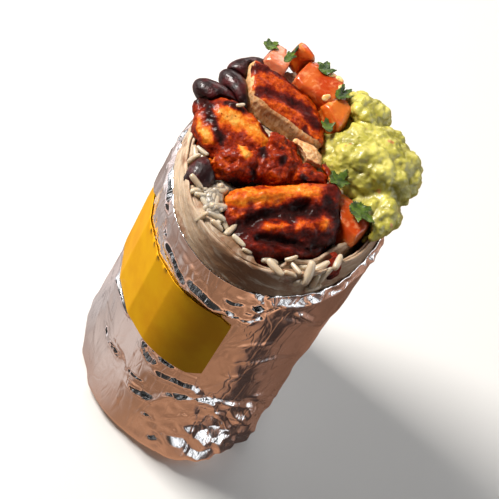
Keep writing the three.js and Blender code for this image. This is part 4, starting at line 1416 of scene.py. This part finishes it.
# %% The smaller pieces
SMALL_SQUARES = 0.3
CHIP_PALE = ((9.0, ((-4.0, 34.0), (6.0, 34.0))),)
SHREDS_CHAR = ((0.8, ((4.0, 41.0), (7.0, 39.0))),)
SHREDS_GOLD = ((0.8, ((7.0, 36.0), (9.0, 32.0))),)
LOW_CHAR = ((2.0, ((22.0, 10.0), (26.0, 8.0))),)
meat(
    "chicken_chip", "chicken_chip_pale", SMALL_SQUARES, gnarl=0.0, yaw=6, scorch=0.0,
    slot="chicken_pale", pale=CHIP_PALE,
)
meat(
    "chicken_shreds", "chicken_torn_shreds", SMALL_SQUARES, gnarl=0.8, yaw=-55, scorch=0.2,
    char=SHREDS_CHAR, gold_and_highlight=SHREDS_GOLD,
)
meat(
    "chicken_low", "chicken_low_piece", KNOT_SQUARES, gnarl=0.4, yaw=35, scorch=0.3,
    char=LOW_CHAR,
)

# %% [markdown]
# ## Black beans
#
# A cooked black bean is a smooth, slightly dented kidney. Its skin is nearly black, shows
# purple-red where light gets in, and is covered with a thin glaze of cooking water, which
# makes small sharp glints. A clear coat over a dark base gives those, and small pale specks
# in the colour are painted glints.

# %% Beans
BEANS = 4
BEAN_SQUARES = 0.35
glaze = Finish(
    "black_bean_skin", roughness=0.4, specular_ior_level=0.3, coat_weight=0.5,
    coat_roughness=0.1, coat_ior=1.35,
)
BEAN_BLACK, BEAN_RED, PAINTED_GLINTS = rgb(30, 4, 5), rgb(74, 16, 18), rgb(128, 92, 94)
tone = glaze.over(BEAN_BLACK, BEAN_RED, glaze.noise(3.4, 4.0, 0.6), 0.4, 0.68)
# painted glints: small pale specks of the glaze's shine laid into the colour
tone = glaze.over(tone, PAINTED_GLINTS, glaze.noise(0.6, 3.0), 0.62, 0.74, 0.4)
glaze.set("base_color", tone)
dents = glaze.bump(glaze.noise(2.6, 3.0), 0.6, 0.5)
glaze.set("normal", glaze.bump(glaze.noise(0.8, 4.0, 0.6), 0.3, 0.8, dents))


def dented(place, normal):
    """Slow and quick dents, on a skin as fat as it was before it was smoothed."""
    return 0.22 + 0.16 * rough(place, 3.6, 70) + 0.05 * rough(place, 1.2, 71)


for number in range(1, BEANS + 1):
    bean = welded(f"bean_{number}", f"black_bean_{number}", BEAN_SQUARES, 8)
    reshape(bean, dented)
    dress(bean, glaze, "bean", f"bean_{number}")

# %% [markdown]
# ## Tomato
#
# Diced tomato is wet and half clear: light goes in and comes out again as orange and pink.
# Its skin side is smooth and redder, and its cut sides are flat, paler and grainy. The
# knife's flat sides are pressed into each piece, subsurface scattering with a red radius
# gives the glow, and a coat gives the wet shine.

# %% Tomato finishes
def juicy(name, flesh, deep, pale):
    """Wet tomato flesh: deep and light blots with pale fibres over them."""
    made = Finish(
        name, roughness=0.34, subsurface_weight=0.3, subsurface_scale=0.003,
        coat_weight=0.6, coat_roughness=0.1,
    )
    made.set("subsurface_radius", (1.0, 0.4, 0.22))
    tone = made.over(deep, flesh, made.noise(6.0, 4.0, 0.55), 0.35, 0.68)
    fibres = made.noise(2.6, 4.0, 0.6, 0.6)
    made.set("base_color", made.over(tone, pale, fibres, 0.5, 0.74, 0.8))
    dents = made.bump(made.noise(4.0, 2.0), 0.6, 0.4)
    made.set("normal", made.bump(made.noise(1.3, 3.0), 0.3, 0.5, dents))
    return made


red_flesh = juicy("red_tomato_flesh", rgb(202, 98, 34), rgb(184, 58, 4), rgb(232, 158, 106))
pink_flesh = juicy("pink_tomato_flesh", rgb(216, 134, 94), rgb(204, 108, 70), rgb(232, 180, 146))
orange_flesh = juicy(
    "orange_tomato_flesh", rgb(216, 112, 30), rgb(196, 72, 10), rgb(234, 164, 84),
)
for flesh in (red_flesh, pink_flesh, orange_flesh):
    print("tomato finish:", flesh.material.name)

# %% Cut and dress the dice
DICE_SQUARES, DICE_SOFTER = 0.36, 7
# How much of what lies beyond a flat side is pressed back.
PRESSED_BACK = 0.85
# Each flat side: a point on it in millimetres, and the way that it faces.
BIG_CUTS = (
    ((-13.6, 26, 112), (-1, 0.1, 0.1)),
    ((0.2, 26, 112), (1, 0.15, 0.1)),
    ((-7, 26, 115.6), (-0.05, -0.12, 1)),
)
PALE_CUTS = (
    ((-25, 27, 111), (-1, 0.1, 0.3)),
    ((-18, 27, 111), (1, 0, 0)),
    ((-21, 23.5, 111), (0, -1, 0.35)),
    ((-21, 27, 113.6), (0.1, 0.1, 1)),
)
FRONT_CUTS = (
    ((20, -10.5, 103), (-0.35, -1, 0.25)),
    ((27, -7, 103), (1, -0.2, 0.15)),
    ((20, -7, 105.6), (0.1, 0, 1)),
)
ORANGE_CUTS = (
    ((-15, 30, 113), (0, -1, 0.2)),
    ((-11.4, 31, 113), (1, 0, 0.3)),
    ((-19, 31, 113), (-1, 0, 0.2)),
)
RIGHT_CUTS = (
    ((0, 17.5, 111), (-0.5, -1, 0.2)),
    ((5.6, 21, 111), (1, 0, 0.2)),
    ((2.4, 21, 114.2), (0.3, 0, 1)),
)
DICE = (
    ("tomato_big", "tomato", red_flesh, BIG_CUTS),
    ("tomato_pale", "tomato", pink_flesh, PALE_CUTS),
    ("tomato_front", "tomato", red_flesh, FRONT_CUTS),
    ("tomato_orange", "tomato_orange", orange_flesh, ORANGE_CUTS),
    ("tomato_right", "tomato_orange", orange_flesh, RIGHT_CUTS),
)


def knife(cuts):
    """Presses what lies beyond each flat side back to it, and leaves a little roundness."""
    def press(place, normal):
        start = place.copy()
        for point, way in cuts:
            way = Vector(way).normalized()
            beyond = (place - Vector(point)).dot(way)
            if beyond > 0:
                place = place - way * beyond * PRESSED_BACK
        swell = 0.25 + 0.22 * rough(start, 4.5, 80) + 0.08 * rough(start, 1.6, 81)
        return place - start + normal * swell
    return press


for node, slot, flesh, cuts in DICE:
    dice = welded(node, node + "_flesh", DICE_SQUARES, 2)
    reshape(dice, knife(cuts))
    apply(dice, "SMOOTH", factor=0.5, iterations=DICE_SOFTER)
    dress(dice, flesh, slot, node)

# %% [markdown]
# ### Seeds
#
# Four seeds lie on the large piece. One is modelled and copied, and a ray from the camera's
# own place finds where each one lies. The same helpers lay the single rice grains later.

# %% Seeds on the big piece
# Each seed: where it is seen, in millimetres from the aim, and the way that it points.
SEEDS = ((-5.5, 62.4, 20), (-2.4, 62.6, -15), (-3.1, 55.6, 60), (-0.6, 60.8, 80))


def skin_of(*things):
    """A tree that rays can be cast at, over the meshes of these objects."""
    points, faces = [], []
    for thing in things:
        start = len(points)
        points += [point.co.copy() for point in thing.data.vertices]
        faces += [[start + corner for corner in face.vertices] for face in thing.data.polygons]
    return BVHTree.FromPolygons(points, faces)


def aimed(tree, x, y):
    """Where a point of the picture, in millimetres from the aim, falls on a tree."""
    look = AIM + (level * x + rise * y) * MM - EYE
    return tree.ray_cast(EYE, look.normalized())[:2]


def placed(source, place, normal, way, size, roll_by=0.0):
    """A copy of a small shape, laid on a surface and pointing along way."""
    side = normal.cross(way).normalized()
    forward = side.cross(normal).normalized()
    turned = Matrix((forward, side, normal)).transposed().to_4x4()
    copy = source.copy()
    copy.data = source.data.copy()
    bpy.context.scene.collection.objects.link(copy)
    rolled_over = Matrix.Rotation(math.radians(roll_by), 4, "X")
    copy.data.transform(Matrix.Translation(place) @ turned @ rolled_over @ Matrix.Scale(size, 4))
    return copy


def picture_way(degrees):
    """A direction in the picture's plane, turned from the picture's level."""
    return level * math.cos(math.radians(degrees)) + rise * math.sin(math.radians(degrees))


SEED_HALF_LENGTH, SEED_HALF_HEIGHT, SEED_TAPER = 1.5, 0.45, 0.35
SEED_LIFT = 0.0001
only(floor)
bpy.ops.mesh.primitive_uv_sphere_add(segments=12, ring_count=8, radius=1.0)
seed = bpy.context.object
for point in seed.data.vertices:
    x, y, z = point.co
    taper = 1 - SEED_TAPER * x
    point.co = Vector((x * SEED_HALF_LENGTH, y * taper, z * SEED_HALF_HEIGHT)) * MM
bpy.ops.object.shade_smooth()
dice_skin = skin_of(bpy.data.objects["tomato_big_flesh"])
seeds = []
for x, y, angle in SEEDS:
    hit, normal = aimed(dice_skin, x, y)
    if hit is not None:
        seeds.append(placed(seed, hit + normal * SEED_LIFT, normal, picture_way(angle), 1.0))
bpy.data.objects.remove(seed)
only(*seeds)
bpy.ops.object.join()
seeds = bpy.context.object
seeds.name = "tomato_seeds"
pip = Finish(
    "tomato_seed", roughness=0.3, subsurface_weight=0.2, subsurface_scale=0.001,
    coat_weight=0.5, coat_roughness=0.12,
)
PIP_DEEP, PIP_PALE = rgb(232, 172, 96), rgb(244, 206, 140)
pip.set("base_color", pip.over(PIP_DEEP, PIP_PALE, pip.noise(1.5), 0.4, 0.6))
dress(seeds, pip, "tomato", "tomato_big")

# %% [markdown]
# ## Rice
#
# Long-grain rice shows as single grains where the heap is open: between the tortilla and
# the chicken. Under them lies the CAD heap with its lumps smoothed away, so that nothing
# shows through. One grain is modelled once, and its copies are laid on that core by rays
# that fall from above, wherever the core is open to the sky.

# %% The core and one grain
CORE_SQUARES, CORE_ROUNDS, CORE_INSET = 1.1, 12, 0.7
core = welded("rice", "rice_core", CORE_SQUARES, CORE_ROUNDS)
reshape(core, lambda place, normal: -CORE_INSET)
starch = Finish(
    "cooked_rice", roughness=0.4, subsurface_weight=0.6, subsurface_scale=0.003,
    coat_weight=0.5, coat_roughness=0.12,
)
starch.set("subsurface_radius", (1.0, 0.85, 0.6))
RICE_DEEP, RICE_PALE = rgb(186, 164, 138), rgb(205, 189, 166)
starch.set("base_color", starch.over(RICE_DEEP, RICE_PALE, starch.noise(6, 3.0), 0.35, 0.7))
starch.set("normal", starch.bump(starch.noise(0.8, 2.0), 0.1, 0.5))
dress(core, starch, "rice", "rice")

# A grain's length and width in millimetres, how it tapers, and how it bends.
GRAIN_LENGTH, GRAIN_WIDTH = 6.8, 2.35
GRAIN_TAPER, GRAIN_BEND = 0.1, 0.35
only(floor)
bpy.ops.mesh.primitive_uv_sphere_add(segments=10, ring_count=8, radius=1.0)
grain = bpy.context.object
grain.name = "rice_grain"
for point in grain.data.vertices:
    x, y, z = point.co.z, point.co.x, point.co.y
    blunt = math.copysign(abs(x) ** 0.8, x)
    thin = (1 - GRAIN_TAPER * x) * (1 - x * x) ** -0.25 if abs(x) < 0.99 else 1.0
    wide = y * thin * GRAIN_WIDTH / 2
    high = z * thin * GRAIN_WIDTH / 2 - GRAIN_BEND * x * x
    point.co = Vector((blunt * GRAIN_LENGTH / 2, wide, high)) * MM
only(grain)
bpy.ops.object.mode_set(mode="EDIT")
bpy.ops.mesh.select_all(action="SELECT")
bpy.ops.mesh.normals_make_consistent(inside=False)
bpy.ops.object.mode_set(mode="OBJECT")
bpy.ops.object.shade_smooth()
print("one grain has", len(grain.data.polygons), "faces")

# %% [markdown]
# ### Laying the grains
#
# The grains that show singly in front are laid one by one, where they are seen. The rest
# are scattered: rays fall at random, and a grain is laid where the core is open to the sky
# and no other grain lies too near. The draws have a seed, so each run lays the same heap.

# %% Lay the grains that show singly
laid, grains = [], []


def lay(place, normal, way, size, roll_by):
    """Lays one more grain, and remembers where it lies."""
    grains.append(placed(grain, place, normal, way, size, roll_by))
    laid.append(place)


GRAIN_SEED = 11
SINGLE_LIFT = 0.0007
draw = random.Random(GRAIN_SEED)
everything = skin_of(*[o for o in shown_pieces() if o is not foil])
# Each grain: where it is seen in millimetres from the aim, the way it points, and its size.
SINGLE_GRAINS = (
    (-14.3, 6.8, 40, 0.75), (-16.4, 3.7, 60, 0.7), (-11.5, 3.2, 0, 0.7),
    (-6.8, 4.0, 88, 0.85), (-18.2, 7.1, -40, 0.7), (-3.1, 2.4, -20, 0.75),
    (0.8, 1.1, 30, 0.5), (11.2, 1.4, -25, 1.0), (15.9, 2.7, 10, 0.6),
    (20.8, 5.8, -80, 1.15), (12.5, 5.3, 30, 0.7), (14.3, 6.6, 50, 0.6),
    (18.0, 6.8, 15, 0.7), (19.8, 2.9, 40, 0.8), (8.3, 2.9, 15, 0.8),
    (22.4, 9.2, 80, 1.1), (26.0, 8.1, 75, 0.9), (26.6, 13.3, 80, 0.9),
    (-28.9, 18.8, -70, 0.8), (-30.5, 21.7, -60, 0.9), (-27.1, 21.4, 10, 0.7),
    (-27.9, 17.5, 20, 0.7), (-24.7, 38.9, 70, 0.5), (24.0, 2.9, 20, 0.8),
    (-20.4, 8.8, 35, 0.7), (-9.0, 5.6, -30, 0.7), (23.4, 5.0, 120, 0.8),
    (17.0, 4.4, 140, 0.7), (-24.0, 12.0, -20, 0.8), (-22.0, 9.6, 50, 0.8),
)
for x, y, angle, size in SINGLE_GRAINS:
    hit, normal = aimed(everything, x, y)
    if hit is not None:
        roll_by = draw.uniform(0, 360)
        lay(hit + normal * SINGLE_LIFT, normal, picture_way(angle), size, roll_by)
print("single grains:", len(laid))

# %% Scatter the rest
GRAIN_TRIES = 5000
GRAIN_APART = 1.35
GRAIN_LIFT, GRAIN_ROOM = 0.0008, 0.0022
GRAIN_INSET = -4.0
SKY_HEIGHT = 140
DOWN = Vector((0, 0, -1))
core_skin = skin_of(core)
cover = skin_of(*[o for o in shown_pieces() if o not in (core, foil) and o not in grains])
for _ in range(GRAIN_TRIES):
    turn, reach = draw.uniform(0, 360), draw.random() ** 0.5
    x, y, _ = on_wrap(turn, 100, GRAIN_INSET, reach)
    yaw, tilt = draw.uniform(0, 360), draw.gauss(0, 0.3)
    roll_by, size = draw.uniform(0, 360), draw.uniform(0.84, 1.1)
    start = Vector((x, y, SKY_HEIGHT)) * MM
    hit, normal, _, _ = core_skin.ray_cast(start, DOWN)
    over = cover.ray_cast(start, DOWN)[0]
    if hit is None or (over is not None and over.z > hit.z + GRAIN_ROOM):
        continue
    place = hit + normal * GRAIN_LIFT
    if any((place - other).length < GRAIN_APART * MM for other in laid):
        continue
    lay(place, normal, Vector((math.cos(yaw), math.sin(yaw), tilt)), size, roll_by)
bpy.data.objects.remove(grain)
only(*grains)
bpy.ops.object.join()
rice = bpy.context.object
rice.name = "rice_grains"
dress(rice, starch, "rice", "rice")
print("grains laid:", len(laid))

# %% [markdown]
# ## Coriander
#
# A coriander leaf is a thin fan of pointed lobes with small teeth. A disc is drawn out to
# that outline, laid on the food below it, curled at its edge and thickened. The CAD leaves
# say where each lies and how long it is.

# %% Leaves
LEAF_DEEP, LEAF_PALE = rgb(38, 60, 6), rgb(92, 116, 22)
green = Finish(
    "coriander", roughness=0.45, subsurface_weight=0.08, subsurface_scale=0.001,
    coat_weight=0.2, coat_roughness=0.25,
)
green.set("base_color", green.over(LEAF_DEEP, LEAF_PALE, green.noise(2.4, 3.0), 0.35, 0.7))
green.set("normal", green.bump(green.noise(0.9, 3.0), 0.35, 0.7))
LEAF_RINGS = (1.0, 0.92, 0.8, 0.6, 0.35, 0.0)
LEAF_POINTS = 108
LEAF_THICKNESS = 0.22
LEAF_WIDER = 1.35
TEETH, TOOTH = 23, 0.07
# Each leaf: its middle, its length and width in millimetres, and the way that it points.
LEAVES = (
    (-26, 29.6, 7.5, 5.6, 60),
    (-18.9, 26.4, 10.5, 3.4, 84),
    (-7.6, 30.4, 8.5, 7, 100),
    (0.4, 25.6, 10, 5, 66),
    (2, 13.2, 7.5, 5, 120),
    (12.8, -0.4, 11, 7.4, 80),
    (22.6, -4.6, 12, 9, -12),
)
# Each lobe: its direction, how far it reaches, and how wide it is in degrees.
LOBES = ((0, 1.0, 17), (58, 0.78, 15), (-58, 0.82, 15), (112, 0.55, 17), (-112, 0.5, 17))
under_leaves = skin_of(*[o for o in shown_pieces() if not o.name.startswith("leaf")])


def lobe_reach(degrees):
    """How far the outline reaches in a direction: pointed lobes with teeth."""
    reach = 0.3
    for middle, length, width in LOBES:
        off = abs(signed(degrees - middle))
        reach = max(reach, length * (1 - 0.5 * min(1.0, (off / width) ** 1.3 / 1.8)))
    return reach * (1 + TOOTH * math.sin(math.radians(degrees * TEETH)))


def fan(number, share, x0, y0, length, width, yaw):
    """A leaf's station: a ring at a share of the way out, laid on the food below it."""
    facing = math.radians(yaw)
    low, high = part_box(f"leaf_{number}")

    def place(degrees):
        reach = share * lobe_reach(degrees)
        a = length / 2 * reach * math.cos(math.radians(degrees))
        b = width / 2 * LEAF_WIDER * reach * math.sin(math.radians(degrees))
        x = x0 + a * math.cos(facing) - b * math.sin(facing)
        y = y0 + a * math.sin(facing) + b * math.cos(facing)
        hit = under_leaves.ray_cast(Vector((x, y, SKY_HEIGHT)) * MM, DOWN)[0]
        under = hit.z / MM if hit is not None else low.z / MM
        curl = 0.9 * share * abs(rough((x, y, number * 9), 2.2, 90))
        lift = 0.3 + curl + 0.25 * abs(b) / width
        return x, y, max(min(under, high.z / MM), low.z / MM) + lift
    return place


for number, leaf_row in enumerate(LEAVES, 1):
    stations = [fan(number, share, *leaf_row) for share in LEAF_RINGS]
    leaf = rolled(f"leaf_coriander_{number}", LEAF_POINTS, stations)
    apply(leaf, "SMOOTH", factor=0.4, iterations=1)
    apply(leaf, "SOLIDIFY", thickness=LEAF_THICKNESS * MM, offset=0.0)
    dress(leaf, green, "leaf", f"leaf_{number}")
